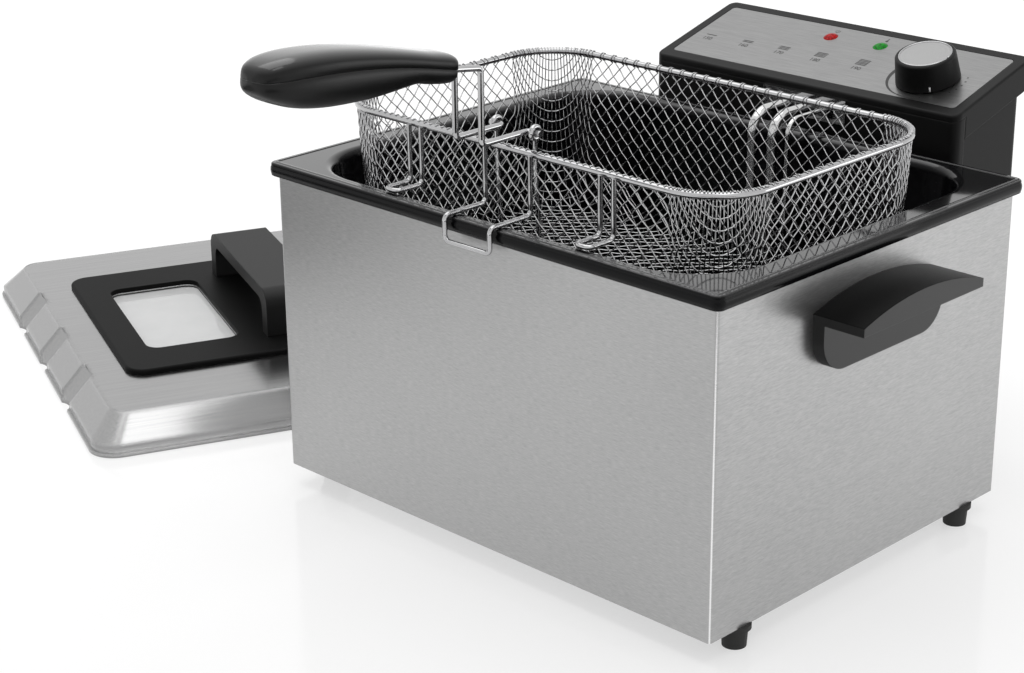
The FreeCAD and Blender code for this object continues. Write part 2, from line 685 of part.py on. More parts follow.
def make_case_front():
    half = CONTROL_WIDTH / 2
    outer = rounded_block(-half, half, CONTROL_FRONT_Y, CONTROL_BACK_Y, CONTROL_BOTTOM_Z,
                          PANEL_CENTRE_Z, CONTROL_CORNER_RADIUS)
    outer = outer.common(block(-half, half, CONTROL_FRONT_Y, CONTROL_SEAM_Y, 0, PANEL_CENTRE_Z))
    hollow = block(-CASE_X + CASE_WALL, CASE_X - CASE_WALL, CONTROL_FRONT_Y + CASE_WALL,
                   CONTROL_SEAM_Y, CONTROL_BOTTOM_Z + CASE_WALL, PANEL_CENTRE_Z)
    cover = outer.cut(hollow).common(below_panel(-PANEL_UNDERSIDE))
    inside = CONTROL_FRONT_Y + CASE_WALL
    claws = [make_claw(x) for x in rail_places()]
    cover = cover.fuse(case_bosses(inside, CONTROL_SEAM_Y) + claws)
    holes = tube_holes(CONTROL_FRONT_Y, inside, TUBE_HOLE_CLEARANCE)
    return cover.cut(holes + case_screw_holes(inside, CONTROL_SEAM_Y))


def make_claw(x):
    """A hook on the front cover that straddles one guide rail and rests on its top."""
    inner = RAIL_WIDTH / 2 + RAIL_CLEARANCE
    outer = inner + CLAW_WIDTH
    front = RIM_Y + RAIL_CLEARANCE + CLAW_WIDTH
    body = block(x - outer, x + outer, front, CONTROL_FRONT_Y, RAIL_BOTTOM_Z, RAIL_TOP_Z + CLAW_TOP)
    slot = block(x - inner, x + inner, front, CONTROL_FRONT_Y, RAIL_BOTTOM_Z, RAIL_TOP_Z)
    return body.cut(slot)


def make_case_rear():
    outer = rounded_block(-CASE_X, CASE_X, CONTROL_FRONT_Y, CASE_BACK_Y, CONTROL_BOTTOM_Z,
                          BEYOND, CONTROL_CORNER_RADIUS)
    inner = rounded_block(-CASE_X + CASE_WALL, CASE_X - CASE_WALL, CONTROL_FRONT_Y,
                          CASE_BACK_Y - CASE_WALL, CONTROL_BOTTOM_Z + CASE_WALL, BEYOND,
                          CONTROL_CORNER_RADIUS - CASE_WALL)
    behind_seam = block(-CASE_X, CASE_X, CONTROL_SEAM_Y, CASE_BACK_Y, 0, BEYOND)
    case = outer.cut(inner).common(behind_seam).common(below_panel(-PANEL_UNDERSIDE))
    inside = CASE_BACK_Y - CASE_WALL
    case = case.fuse(case_bosses(CONTROL_SEAM_Y, inside))
    button_hole = cylinder(RESET_DIAMETER + 2 * RESET_CLEARANCE, V(CUTOUT_X, inside, CUTOUT_Z),
                           V(CUTOUT_X, CASE_BACK_Y, CUTOUT_Z))
    gland_hole = clear_hole(GLAND_DIAMETER, V(GLAND_X, inside, GLAND_Z), V(GLAND_X, CASE_BACK_Y, GLAND_Z))
    return case.cut(case_screw_holes(CONTROL_SEAM_Y, CASE_BACK_Y) + [button_hole, gland_hole])


def make_case_screws():
    screws = []
    for x, z in case_screw_places():
        head = cylinder(CASE_SCREW_HEAD, V(x, CASE_BACK_Y, z),
                        V(x, CASE_BACK_Y + CASE_SCREW_HEAD_HEIGHT, z))
        shank = cylinder(CASE_SCREW_DIAMETER, V(x, CONTROL_SEAM_Y - CASE_SCREW_GRIP, z),
                         V(x, CASE_BACK_Y, z))
        screws.append(head.fuse(shank))
    return Part.makeCompound(screws)


def panel_holes(low, high):
    """The openings that the knob's spindle and the two lamps need in a panel layer."""
    spindle_hole = SPINDLE_DIAMETER + 2 * SPINDLE_HOLE_CLEARANCE
    lamp_hole = LAMP_STEM_DIAMETER + 2 * LAMP_STEM_CLEARANCE
    holes = [panel_cylinder(spindle_hole, KNOB_X, KNOB_SLOPE, low, high)]
    for x in (-LAMP_X, LAMP_X):
        holes.append(panel_cylinder(lamp_hole, x, LAMP_SLOPE, low, high))
    return holes


def make_bezel():
    half = CONTROL_WIDTH / 2
    prism = rounded_block(-half, half, CONTROL_FRONT_Y, CONTROL_BACK_Y, CONTROL_BOTTOM_Z,
                          BEYOND, CONTROL_CORNER_RADIUS)
    skirted = prism.common(below_panel(0))
    skirted = skirted.cut(below_panel(BEZEL_SKIRT))
    rim = [edge for edge in skirted.Edges
           if all(on_panel_face(vertex.Point) for vertex in edge.Vertexes)]
    skirted = skirted.makeFillet(BEZEL_EDGE_RADIUS, rim)
    gap = BEZEL_CLEARANCE
    cavity = rounded_block(-CASE_X - gap, CASE_X + gap, CONTROL_FRONT_Y - CONTROL_CORNER_RADIUS,
                           CASE_BACK_Y + gap, CONTROL_BOTTOM_Z, BEYOND,
                           CONTROL_CORNER_RADIUS + gap)
    front_room = block(-half, half, CONTROL_FRONT_Y, CONTROL_SEAM_Y + gap, CONTROL_BOTTOM_Z,
                       BEYOND)
    room = cavity.fuse(front_room).common(below_panel(-PANEL_UNDERSIDE))
    recess = on_panel(rounded_block(-PANEL_WIDTH / 2, PANEL_WIDTH / 2, -PANEL_DEPTH / 2, PANEL_DEPTH / 2,
                                    -PANEL_SHEET, OVERRUN, PANEL_CORNER_RADIUS))
    return skirted.cut([room, recess]).cut(panel_holes(PANEL_UNDERSIDE - OVERRUN, OVERRUN))


def on_panel_face(point):
    return abs(panel_placement.inverse().multVec(point).z) < SAME


def make_panel_plate():
    x = PANEL_WIDTH / 2 - PANEL_FIT
    y = PANEL_DEPTH / 2 - PANEL_FIT
    plate = on_panel(rounded_block(-x, x, -y, y, -PANEL_SHEET, 0, PANEL_CORNER_RADIUS - PANEL_FIT))
    return plate.cut(panel_holes(-PANEL_SHEET - OVERRUN, OVERRUN))


def make_lamp_lens(x):
    dome_radius = (LAMP_DIAMETER ** 2 / 4 + LAMP_DOME ** 2) / (2 * LAMP_DOME)
    ball = Part.makeSphere(dome_radius, V(x, LAMP_SLOPE, LAMP_DOME - dome_radius))
    dome = ball.common(cylinder(LAMP_DIAMETER, V(x, LAMP_SLOPE, 0), V(x, LAMP_SLOPE, LAMP_DOME)))
    stem = cylinder(LAMP_STEM_DIAMETER, V(x, LAMP_SLOPE, PANEL_UNDERSIDE), V(x, LAMP_SLOPE, 0))
    return on_panel(dome.fuse(stem))


def make_lamp_holders():
    low = PANEL_UNDERSIDE - LAMP_HOLDER_HEIGHT
    return Part.makeCompound([
        panel_cylinder(LAMP_HOLDER_DIAMETER, x, LAMP_SLOPE, low, PANEL_UNDERSIDE)
        for x in (-LAMP_X, LAMP_X)])


def spindle_flat(low, high, spare):
    """The part of the spindle's round section that the flat takes away."""
    edge = SPINDLE_DIAMETER / 2 - SPINDLE_FLAT + spare
    return block(KNOB_X - SPINDLE_DIAMETER, KNOB_X + SPINDLE_DIAMETER,
                 KNOB_SLOPE + edge, KNOB_SLOPE + SPINDLE_DIAMETER, low, high)


def make_thermostat_spindle():
    low = PANEL_UNDERSIDE - THERMOSTAT_BORE_DEPTH + HOLE_SPARE
    high = KNOB_GAP + SPINDLE_ENGAGEMENT
    shaft = cylinder(SPINDLE_DIAMETER, V(KNOB_X, KNOB_SLOPE, low), V(KNOB_X, KNOB_SLOPE, high))
    return on_panel(shaft.cut(spindle_flat(KNOB_GAP, high, 0)))


def make_knob_body():
    top = KNOB_GAP + KNOB_HEIGHT
    centre = V(KNOB_X, KNOB_SLOPE, KNOB_GAP)
    skirt = Part.makeCone(KNOB_DIAMETER / 2, KNOB_TOP_DIAMETER / 2, KNOB_HEIGHT, centre)
    skirt = skirt.makeFillet(KNOB_WALL / 2, upper_edges(skirt, top))
    hollow_top = KNOB_HEIGHT - KNOB_WALL - KNOB_CAP_THICKNESS
    hollow = Part.makeCone(KNOB_DIAMETER / 2 - KNOB_WALL, KNOB_TOP_DIAMETER / 2 - KNOB_WALL,
                           hollow_top, centre)
    hub = cylinder(KNOB_HUB_DIAMETER, centre, centre + V(0, 0, hollow_top))
    bore_end = KNOB_GAP + SPINDLE_ENGAGEMENT + SPINDLE_CLEARANCE
    bore = cylinder(SPINDLE_DIAMETER + 2 * SPINDLE_CLEARANCE, centre, V(KNOB_X, KNOB_SLOPE, bore_end))
    bore = bore.cut(spindle_flat(KNOB_GAP, bore_end, SPINDLE_CLEARANCE))
    seat = cylinder(KNOB_CAP_DIAMETER, V(KNOB_X, KNOB_SLOPE, top - KNOB_CAP_THICKNESS),
                    V(KNOB_X, KNOB_SLOPE, top))
    return on_panel(skirt.cut(hollow.cut(hub)).cut([bore, seat]))


def make_knob_cap():
    top = KNOB_GAP + KNOB_HEIGHT
    return panel_cylinder(KNOB_CAP_DIAMETER - 2 * SPINDLE_CLEARANCE, KNOB_X, KNOB_SLOPE,
                          top - KNOB_CAP_THICKNESS, top)


def make_thermostat_body():
    half = THERMOSTAT_WIDTH / 2
    body = block(KNOB_X - half, KNOB_X + half, KNOB_SLOPE - half, KNOB_SLOPE + half,
                 PANEL_UNDERSIDE - THERMOSTAT_HEIGHT, PANEL_UNDERSIDE)
    bore = cylinder(SPINDLE_DIAMETER + 2 * SPINDLE_CLEARANCE,
                    V(KNOB_X, KNOB_SLOPE, PANEL_UNDERSIDE - THERMOSTAT_BORE_DEPTH),
                    V(KNOB_X, KNOB_SLOPE, PANEL_UNDERSIDE))
    return on_panel(body.cut(bore))


def element_runs():
    """Where the element's parallel runs lie across the pot."""
    middle = (LOOP_RUNS - 1) / 2
    return [RISER_X + (index - middle) * LOOP_PITCH for index in range(LOOP_RUNS)]


def element_points():
    """The element's centre line: one riser, the parallel runs in the pot, the other riser."""
    left, right = tube_places()
    runs = element_runs()
    inside_case = CONTROL_FRONT_Y + TUBE_ENTRY
    points = [V(left, inside_case, TUBE_EXIT_Z), V(left, RISER_Y, TUBE_EXIT_Z), V(left, RISER_Y, LOOP_Z),
              V(left, LOOP_BACK_Y, LOOP_Z), V(runs[0], LOOP_BACK_Y, LOOP_Z)]
    for index in range(0, LOOP_RUNS, 2):
        points.append(V(runs[index], LOOP_FRONT_Y, LOOP_Z))
        points.append(V(runs[index + 1], LOOP_FRONT_Y, LOOP_Z))
        if index + 2 < LOOP_RUNS:
            points.append(V(runs[index + 1], LOOP_INNER_Y, LOOP_Z))
            points.append(V(runs[index + 2], LOOP_INNER_Y, LOOP_Z))
    points += [V(runs[-1], LOOP_BACK_Y, LOOP_Z), V(right, LOOP_BACK_Y, LOOP_Z), V(right, RISER_Y, LOOP_Z),
               V(right, RISER_Y, TUBE_EXIT_Z), V(right, inside_case, TUBE_EXIT_Z)]
    return points


def make_heating_element():
    return rod(element_points(), TUBE_DIAMETER, TUBE_BEND)


def make_element_plate():
    """The metal plate on the front cover that the risers and the sensor tube pass through."""
    plate = block(RISER_X - ELEMENT_PLATE_WIDTH / 2, RISER_X + ELEMENT_PLATE_WIDTH / 2,
                  CONTROL_FRONT_Y - ELEMENT_PLATE_SHEET, CONTROL_FRONT_Y,
                  TUBE_EXIT_Z - ELEMENT_PLATE_HEIGHT + TUBE_DIAMETER,
                  TUBE_EXIT_Z + TUBE_DIAMETER)
    return plate.cut(tube_holes(CONTROL_FRONT_Y - ELEMENT_PLATE_SHEET, CONTROL_FRONT_Y, SCREW_CLEARANCE))


def make_element_supports():
    """Two flat bars under the runs, with short legs down to the pot's floor."""
    runs = element_runs()
    reach = TUBE_DIAMETER / 2
    half_sheet = SUPPORT_BAR_SHEET / 2
    top = LOOP_Z - TUBE_DIAMETER / 2
    first = LOOP_FRONT_Y + SUPPORT_INSET - SUPPORT_BAR_WIDTH / 2
    bars = []
    for y0 in (first, first + SUPPORT_SPACING):
        y1 = y0 + SUPPORT_BAR_WIDTH
        bar = block(runs[0] - reach, runs[-1] + reach, y0, y1, top - SUPPORT_BAR_SHEET, top)
        legs = [block(x - half_sheet, x + half_sheet, y0, y1, POT_FLOOR_Z + REST_GAP, top)
                for x in (runs[1], runs[-2])]
        bars.append(bar.fuse(legs))
    return Part.makeCompound(bars)


def make_thermostat_sensor():
    x = SENSOR_X
    level = LOOP_Z + SENSOR_LIFT
    points = [V(x, CONTROL_FRONT_Y + TUBE_ENTRY, TUBE_EXIT_Z), V(x, RISER_Y, TUBE_EXIT_Z),
              V(x, RISER_Y, level), V(x, LOOP_INNER_Y, level)]
    tube = rod(points, SENSOR_TUBE_DIAMETER, RISER_ARCH / 2)
    bulb = cylinder(SENSOR_BULB_DIAMETER, V(x, LOOP_INNER_Y, level),
                    V(x, LOOP_INNER_Y - SENSOR_BULB_LENGTH, level))
    return tube.fuse(bulb)


def make_thermal_cutout():
    half = CUTOUT_WIDTH / 2
    back = CASE_BACK_Y - CASE_WALL
    body = block(CUTOUT_X - half, CUTOUT_X + half, back - CUTOUT_DEPTH, back,
                 CUTOUT_Z - half, CUTOUT_Z + half)
    bore = cylinder(RESET_DIAMETER + 2 * RESET_CLEARANCE,
                    V(CUTOUT_X, back - RESET_STEM - RESET_TRAVEL - RESET_CLEARANCE, CUTOUT_Z),
                    V(CUTOUT_X, back, CUTOUT_Z))
    return body.cut(bore)


def make_reset_button():
    return cylinder(RESET_DIAMETER, V(CUTOUT_X, CASE_BACK_Y - CASE_WALL - RESET_STEM, CUTOUT_Z),
                    V(CUTOUT_X, CASE_BACK_Y + RESET_PROUD, CUTOUT_Z))


def make_terminal_block():
    floor = CONTROL_BOTTOM_Z + CASE_WALL
    back = CASE_BACK_Y - CASE_WALL
    body = block(-TERMINAL_WIDTH / 2, TERMINAL_WIDTH / 2, back - 2 * TERMINAL_DEPTH, back - TERMINAL_DEPTH,
                 floor, floor + TERMINAL_HEIGHT)
    bores = [cylinder(TERMINAL_BORE, V(x, back - 2 * TERMINAL_DEPTH, floor + TERMINAL_HEIGHT / 2),
                      V(x, back - TERMINAL_DEPTH, floor + TERMINAL_HEIGHT / 2))
             for x in (-TERMINAL_WIDTH / 3, 0, TERMINAL_WIDTH / 3)]
    return body.cut(bores)


def make_safety_switch():
    floor = CONTROL_BOTTOM_Z + CASE_WALL
    front = CONTROL_SEAM_Y
    return block(SWITCH_X - SWITCH_WIDTH / 2, SWITCH_X + SWITCH_WIDTH / 2, front, front + SWITCH_DEPTH,
                 floor, floor + SWITCH_HEIGHT)


def make_cord_gland():
    inside = CASE_BACK_Y - CASE_WALL - GLAND_FLANGE
    outside = CASE_BACK_Y + GLAND_FLANGE
    sleeve = cylinder(GLAND_DIAMETER, V(GLAND_X, inside, GLAND_Z), V(GLAND_X, outside, GLAND_Z))
    flange = cylinder(GLAND_FLANGE_DIAMETER, V(GLAND_X, CASE_BACK_Y, GLAND_Z),
                      V(GLAND_X, outside, GLAND_Z))
    bore = cylinder(GLAND_BORE, V(GLAND_X, inside, GLAND_Z), V(GLAND_X, outside, GLAND_Z))
    return sleeve.fuse(flange).cut(bore)


def diamond(x, y, width, height):
    corners = [V(x - width / 2, y, 0), V(x, y - height / 2, 0),
               V(x + width / 2, y, 0), V(x, y + height / 2, 0)]
    return Part.makePolygon(corners + corners[:1])


def diamond_net(length, height, pitch, rise):
    """A flat sheet of diamond mesh, centred on x and standing on y = 0."""
    outline = Part.makePolygon([V(-length / 2, 0, 0), V(length / 2, 0, 0), V(length / 2, height, 0),
                                V(-length / 2, height, 0), V(-length / 2, 0, 0)])
    columns = int(length / pitch)
    rows = int(2 * height / rise) - 1
    step = length / columns
    tall = 2 * height / (rows + 1)
    holes = []
    for row in range(rows):
        shift = row % 2
        for column in range(columns - shift):
            x = -length / 2 + (column + 0.5 + shift / 2) * step
            y = (row + 1) * tall / 2
            holes.append(diamond(x, y, step - MESH_BAR, tall - MESH_BAR))
    face = Part.makeFace([outline] + holes, "Part::FaceMakerBullseye")
    return face.extrude(V(0, 0, MESH_SHEET))


def stand_up(net, foot, along, outward):
    """Stand a flat net on its foot point, leaning outwards with the basket's draft."""
    lean = V(outward.x, outward.y, 0) * math.sin(math.radians(BASKET_DRAFT))
    upward = lean + UP * math.cos(math.radians(BASKET_DRAFT))
    normal = along.cross(upward)
    matrix = FreeCAD.Matrix(along.x, upward.x, normal.x, foot.x, along.y, upward.y, normal.y, foot.y,
                            along.z, upward.z, normal.z, foot.z, 0, 0, 0, 1)
    centred = FreeCAD.Placement(V(0, 0, -MESH_SHEET / 2), FreeCAD.Rotation())
    net.Placement = FreeCAD.Placement(matrix).multiply(centred)
    return net


def basket_wall_height():
    return (BASKET_WALL_TOP - BASKET_FLOOR_Z) / math.cos(math.radians(BASKET_DRAFT))


def basket_taper():
    return (BASKET_RIM_Z - BASKET_FLOOR_Z) * BASKET_SLOPE


def basket_middle_y():
    return (BASKET_FRONT_Y + BASKET_REAR_Y) / 2


def make_long_wall(y, outward):
    length = 2 * (BASKET_HALF_WIDTH - BASKET_CORNER_RADIUS)
    net = diamond_net(length, basket_wall_height(), MESH_PITCH, MESH_RISE)
    foot = V(0, y - outward.y * basket_taper(), BASKET_FLOOR_Z)
    return stand_up(net, foot, V(-outward.y, 0, 0), outward)


def make_short_wall(side):
    length = BASKET_REAR_Y - BASKET_FRONT_Y - 2 * BASKET_CORNER_RADIUS
    net = diamond_net(length, basket_wall_height(), MESH_PITCH, MESH_RISE)
    foot = V(side * (BASKET_HALF_WIDTH - basket_taper()), basket_middle_y(), BASKET_FLOOR_Z)
    return stand_up(net, foot, V(0, side, 0), V(side, 0, 0))


def corner_window(axis, turn, height, width, tall):
    """A diamond cutter that points outwards from a corner's axis."""
    direction = V(math.cos(turn), math.sin(turn), 0)
    across = UP.cross(direction) * (width / 2)
    upward = UP * (tall / 2)
    centre = axis + UP * height
    corners = [centre - across, centre - upward, centre + across, centre + upward]
    outline = Part.Face(Part.makePolygon(corners + corners[:1]))
    return outline.extrude(direction * (2 * BASKET_CORNER_RADIUS))


def make_corner_wall(axis, angle):
    """A quarter of a thin cone, cut with staggered rows of diamonds."""
    height = BASKET_WALL_TOP - BASKET_FLOOR_Z
    wide = BASKET_CORNER_RADIUS - RIM_WIRE_RADIUS * BASKET_SLOPE
    narrow = BASKET_CORNER_RADIUS - basket_taper()
    half = MESH_SHEET / 2
    outer = Part.makeCone(narrow + half, wide + half, height, axis, UP, 90)
    inner = Part.makeCone(narrow - half, wide - half, height, axis, UP, 90)
    wall = outer.cut(inner)
    wall.rotate(axis, UP, angle)
    rows = int(2 * height / MESH_RISE) - 1
    rise = height / (rows + 1)
    step = math.radians(90 / CORNER_COLUMNS)
    windows = []
    for row in range(rows):
        shift = row % 2
        for column in range(CORNER_COLUMNS - shift):
            turn = math.radians(angle) + (column + 0.5 + shift / 2) * step
            width = step * narrow - MESH_BAR
            windows.append(corner_window(axis, turn, (row + 1) * rise, width, 2 * rise - MESH_BAR))
    return wall.cut(windows)


def make_corner_walls():
    x = BASKET_HALF_WIDTH - BASKET_CORNER_RADIUS
    rear = BASKET_REAR_Y - BASKET_CORNER_RADIUS
    front = BASKET_FRONT_Y + BASKET_CORNER_RADIUS
    places = ((x, rear, 0), (-x, rear, 90), (-x, front, 180), (x, front, 270))
    return Part.makeCompound([
        make_corner_wall(V(corner_x, corner_y, BASKET_FLOOR_Z), angle)
        for corner_x, corner_y, angle in places])


def make_basket_floor():
    inset = basket_taper() + MESH_SHEET
    x = BASKET_HALF_WIDTH - inset
    depth = BASKET_REAR_Y - BASKET_FRONT_Y - 2 * inset
    net = diamond_net(2 * x, depth, FLOOR_PITCH, FLOOR_RISE)
    net.translate(V(0, BASKET_FRONT_Y + inset, BASKET_FLOOR_Z))
    radius = BASKET_CORNER_RADIUS - inset
    trim = rounded_block(-x, x, BASKET_FRONT_Y + inset, BASKET_REAR_Y - inset,
                         BASKET_FLOOR_Z, BASKET_FLOOR_Z + MESH_SHEET, radius)
    floor = net.common(trim)
    border = trim.cut(rounded_block(-x + MESH_BAR, x - MESH_BAR, BASKET_FRONT_Y + inset + MESH_BAR,
                                    BASKET_REAR_Y - inset - MESH_BAR, BASKET_FLOOR_Z,
                                    BASKET_FLOOR_Z + MESH_SHEET, radius - MESH_BAR))
    return floor.fuse(border).removeSplitter()


def make_basket_rim():
    outline = rounded_outline(-BASKET_HALF_WIDTH, BASKET_HALF_WIDTH, BASKET_FRONT_Y, BASKET_REAR_Y,
                              BASKET_CORNER_RADIUS, BASKET_RIM_Z)
    start = V(-BASKET_HALF_WIDTH + BASKET_CORNER_RADIUS, BASKET_FRONT_Y, BASKET_RIM_Z)
    return ring_rod(outline, BASKET_RIM_WIRE, start, RIGHT)


def form_wire_y():
    """Where a form wire stands so that it touches the front of the rim wire."""
    return BASKET_FRONT_Y - RIM_WIRE_RADIUS - FORM_RADIUS


def make_rest_feet():
    """Two bent wires that stand on the pot's front rim when the basket hangs to drain."""
    y = form_wire_y()
    feet = []
    for x in (-REST_SPACING / 2, REST_SPACING / 2):
        left = x - REST_WIDTH / 2
        right = x + REST_WIDTH / 2
        points = [V(left, y, BASKET_RIM_Z), V(left, y, REST_Z), V(left, y - REST_REACH, REST_Z),
                  V(right, y - REST_REACH, REST_Z), V(right, y, REST_Z), V(right, y, BASKET_RIM_Z)]
        feet.append(rod(points, FORM_WIRE, FORM_BEND))
    return Part.makeCompound(feet)


def make_drain_hook():
    """The loop that reaches over the pot's front rim and hangs down outside it."""
    y = form_wire_y()
    front = -RIM_Y - HOOK_REACH
    left = -HOOK_WIDTH / 2
    right = HOOK_WIDTH / 2
    points = [V(left, y, BASKET_RIM_Z), V(left, y, REST_Z), V(left, front, REST_Z),
              V(left, front, REST_Z - HOOK_DROP), V(right, front, REST_Z - HOOK_DROP),
              V(right, front, REST_Z), V(right, y, REST_Z), V(right, y, BASKET_RIM_Z)]
    return rod(points, FORM_WIRE, FORM_BEND)


def eye_offset():
    """Distance from the middle to the centre of each handle eye."""
    return HANDLE_ARM_SPACING / 2 + HANDLE_BEND + PIVOT_SIDE_GAP + FORM_RADIUS


def make_handle_eyes():
    """Two wires inside the front wall, each ending above the rim in an eye for the handle."""
    ring = HANDLE_WIRE / 2 + PIVOT_CLEARANCE + FORM_RADIUS
    eyes = []
    for x in (-eye_offset(), eye_offset()):
        centre = V(x, PIVOT_Y, PIVOT_Z)
        eye = Part.makeTorus(ring, FORM_RADIUS, centre, RIGHT)
        foot = V(x, PIVOT_Y + EYE_UPRIGHT * BASKET_SLOPE, BASKET_RIM_Z - EYE_UPRIGHT)
        bend = V(x, PIVOT_Y, BASKET_RIM_Z)
        upright = rod([foot, bend, V(x, PIVOT_Y, PIVOT_Z - ring)], FORM_WIRE, FORM_BEND)
        eyes.append(eye.fuse(upright))
    return Part.makeCompound(eyes)


def grip_direction():
    tilt = math.radians(GRIP_TILT)
    return V(0, -math.cos(tilt), math.sin(tilt))


def handle_points():
    """The handle wire from one pivot pin, through the grip, to the other pin."""
    arm = HANDLE_ARM_SPACING / 2
    pin = eye_offset() + FORM_RADIUS + PIN_PROUD
    front = PIVOT_Y - ARM_REACH
    top = PIVOT_Z + RISE_HEIGHT
    end = V(0, front, top) + grip_direction() * GRIP_WIRE_DEPTH
    half = [V(pin, PIVOT_Y, PIVOT_Z), V(arm, PIVOT_Y, PIVOT_Z), V(arm, front, PIVOT_Z),
            V(arm, front, top), V(arm, end.y, end.z)]
    return half + [V(-point.x, point.y, point.z) for point in reversed(half)]


def make_handle_wire():
    return rod(handle_points(), HANDLE_WIRE, HANDLE_BEND)


def grip_point(place):
    """A point on the grip's seam, at a distance from the grip's root."""
    corner = V(0, PIVOT_Y - ARM_REACH, PIVOT_Z + RISE_HEIGHT)
    return corner + grip_direction() * (GRIP_START + place)


def grip_normal():
    """The direction across the grip's seam, towards its upper half."""
    tilt = math.radians(GRIP_TILT)
    return V(0, math.sin(tilt), math.cos(tilt))


def grip_section(place, half_height, half_width):
    """One ellipse across the grip, its middle a little below the seam."""
    ellipse = Part.Ellipse(V(0, 0, 0), max(half_height, half_width), min(half_height, half_width)).toShape()
    ellipse.rotate(V(0, 0, 0), RIGHT, 90)
    if half_height > half_width:
        ellipse.rotate(V(0, 0, 0), BACK, 90)
    ellipse.rotate(V(0, 0, 0), RIGHT, -GRIP_TILT)
    ellipse.translate(grip_point(place) - grip_normal() * GRIP_DROP)
    return Part.Wire(ellipse)


def grip_body():
    """A grip that swells from a flat root to a fat, rounded front end."""
    stations = [
        (0.0, GRIP_ROOT_HALF_HEIGHT, GRIP_ROOT_HALF_WIDTH),
        (GRIP_NECK_SHARE, GRIP_NECK_HEIGHT_SHARE * GRIP_BODY_HALF_HEIGHT, GRIP_ROOT_HALF_WIDTH),
    ]
    for share, high, wide in GRIP_SWELL:
        stations.append((share, high * GRIP_BODY_HALF_HEIGHT, wide * GRIP_BODY_HALF_WIDTH))
    sections = [grip_section(share * GRIP_LENGTH, high, wide) for share, high, wide in stations]
    return Part.makeLoft(sections, True, False)


def grip_halfspace(upper):
    """The side of the grip's seam plane that one half keeps."""
    low, high = (0, BEYOND) if upper else (-BEYOND, 0)
    half = block(-BEYOND, BEYOND, -BEYOND, BEYOND, low, high)
    half.rotate(V(0, 0, 0), RIGHT, -GRIP_TILT)
    half.translate(grip_point(0))
    return half


def grip_screw_places():
    return [grip_point(share * GRIP_LENGTH) for share in GRIP_SCREW_SHARES]


def make_grip_half(upper):
    channel = rod(handle_points(), HANDLE_WIRE + 2 * GRIP_CHANNEL_CLEARANCE, HANDLE_BEND)
    half = grip_body().common(grip_halfspace(upper)).cut(channel)
    normal = grip_normal()
    cuts = []
    for seam in grip_screw_places():
        head_seat = seam - normal * (GRIP_SCREW_LENGTH / 2)
        screw_end = seam + normal * (GRIP_SCREW_LENGTH / 2 + HOLE_SPARE)
        cuts.append(clear_hole(GRIP_SCREW_DIAMETER, head_seat, screw_end))
        cuts.append(clear_hole(GRIP_SCREW_HEAD, head_seat - normal * GRIP_BODY_HALF_WIDTH, head_seat))
    return half.cut(cuts)


def make_grip_screws():
    normal = grip_normal()
    screws = []
    for seam in grip_screw_places():
        head_seat = seam - normal * (GRIP_SCREW_LENGTH / 2)
        shank = cylinder(GRIP_SCREW_DIAMETER, head_seat, seam + normal * (GRIP_SCREW_LENGTH / 2))
        head = cylinder(GRIP_SCREW_HEAD, head_seat - normal * GRIP_SCREW_HEAD_HEIGHT, head_seat)
        screws.append(shank.fuse(head))
    return Part.makeCompound(screws)


def lid_solid(inset, drop):
    """The lid's outer form, drawn in on every side and lowered by the given amounts."""
    x = LID_LENGTH / 2 - inset
    y = LID_DEPTH / 2 - inset
    radius = LID_CORNER_RADIUS - inset
    top_x = TOP_LENGTH / 2 - inset / 2
    top_y = TOP_DEPTH / 2 - inset / 2
    skirt = rounded_block(-x, x, -y, y, 0, LID_LIP - drop, radius)
    crown = drafted_block((-x, x, -y, y, radius, LID_LIP - drop),
                          (-top_x, top_x, -top_y, top_y, LID_TOP_RADIUS - inset / 2, LID_HEIGHT - drop))
    return skirt.fuse(crown).removeSplitter()


def lid_flutes(radius):
    """Three rounded grooves down the front shoulder, which open the lip as steam vents."""
    run = LID_SHOULDER
    fall = LID_HEIGHT - LID_LIP
    slope = V(0, -run, -fall).normalize()
    across = V(0, -fall, run).normalize()
    top = V(0, -TOP_DEPTH / 2, LID_HEIGHT) + across * FLUTE_LIFT - slope * FLUTE_START
    flutes = []
    for place in (-FLUTE_SPACING, 0, FLUTE_SPACING):
        start = top + V(place, 0, 0)
        flutes.append(cylinder(2 * radius, start, start + slope * FLUTE_LENGTH))
    return flutes


def window_opening(grow, low, high):
    return rounded_block(-WINDOW_LENGTH / 2 - grow, WINDOW_LENGTH / 2 + grow, WINDOW_FRONT - grow,
                         WINDOW_BACK + grow, low, high, WINDOW_RADIUS + grow)


def bridge_screw_places():
    x = BRIDGE_LENGTH / 2 - BRIDGE_LEG / 2
    return ((-x, BRIDGE_CENTRE), (x, BRIDGE_CENTRE))


def bridge_screw_holes(low, high):
    return [clear_hole(BRIDGE_SCREW_DIAMETER, V(x, y, low), V(x, y, high))
            for x, y in bridge_screw_places()]


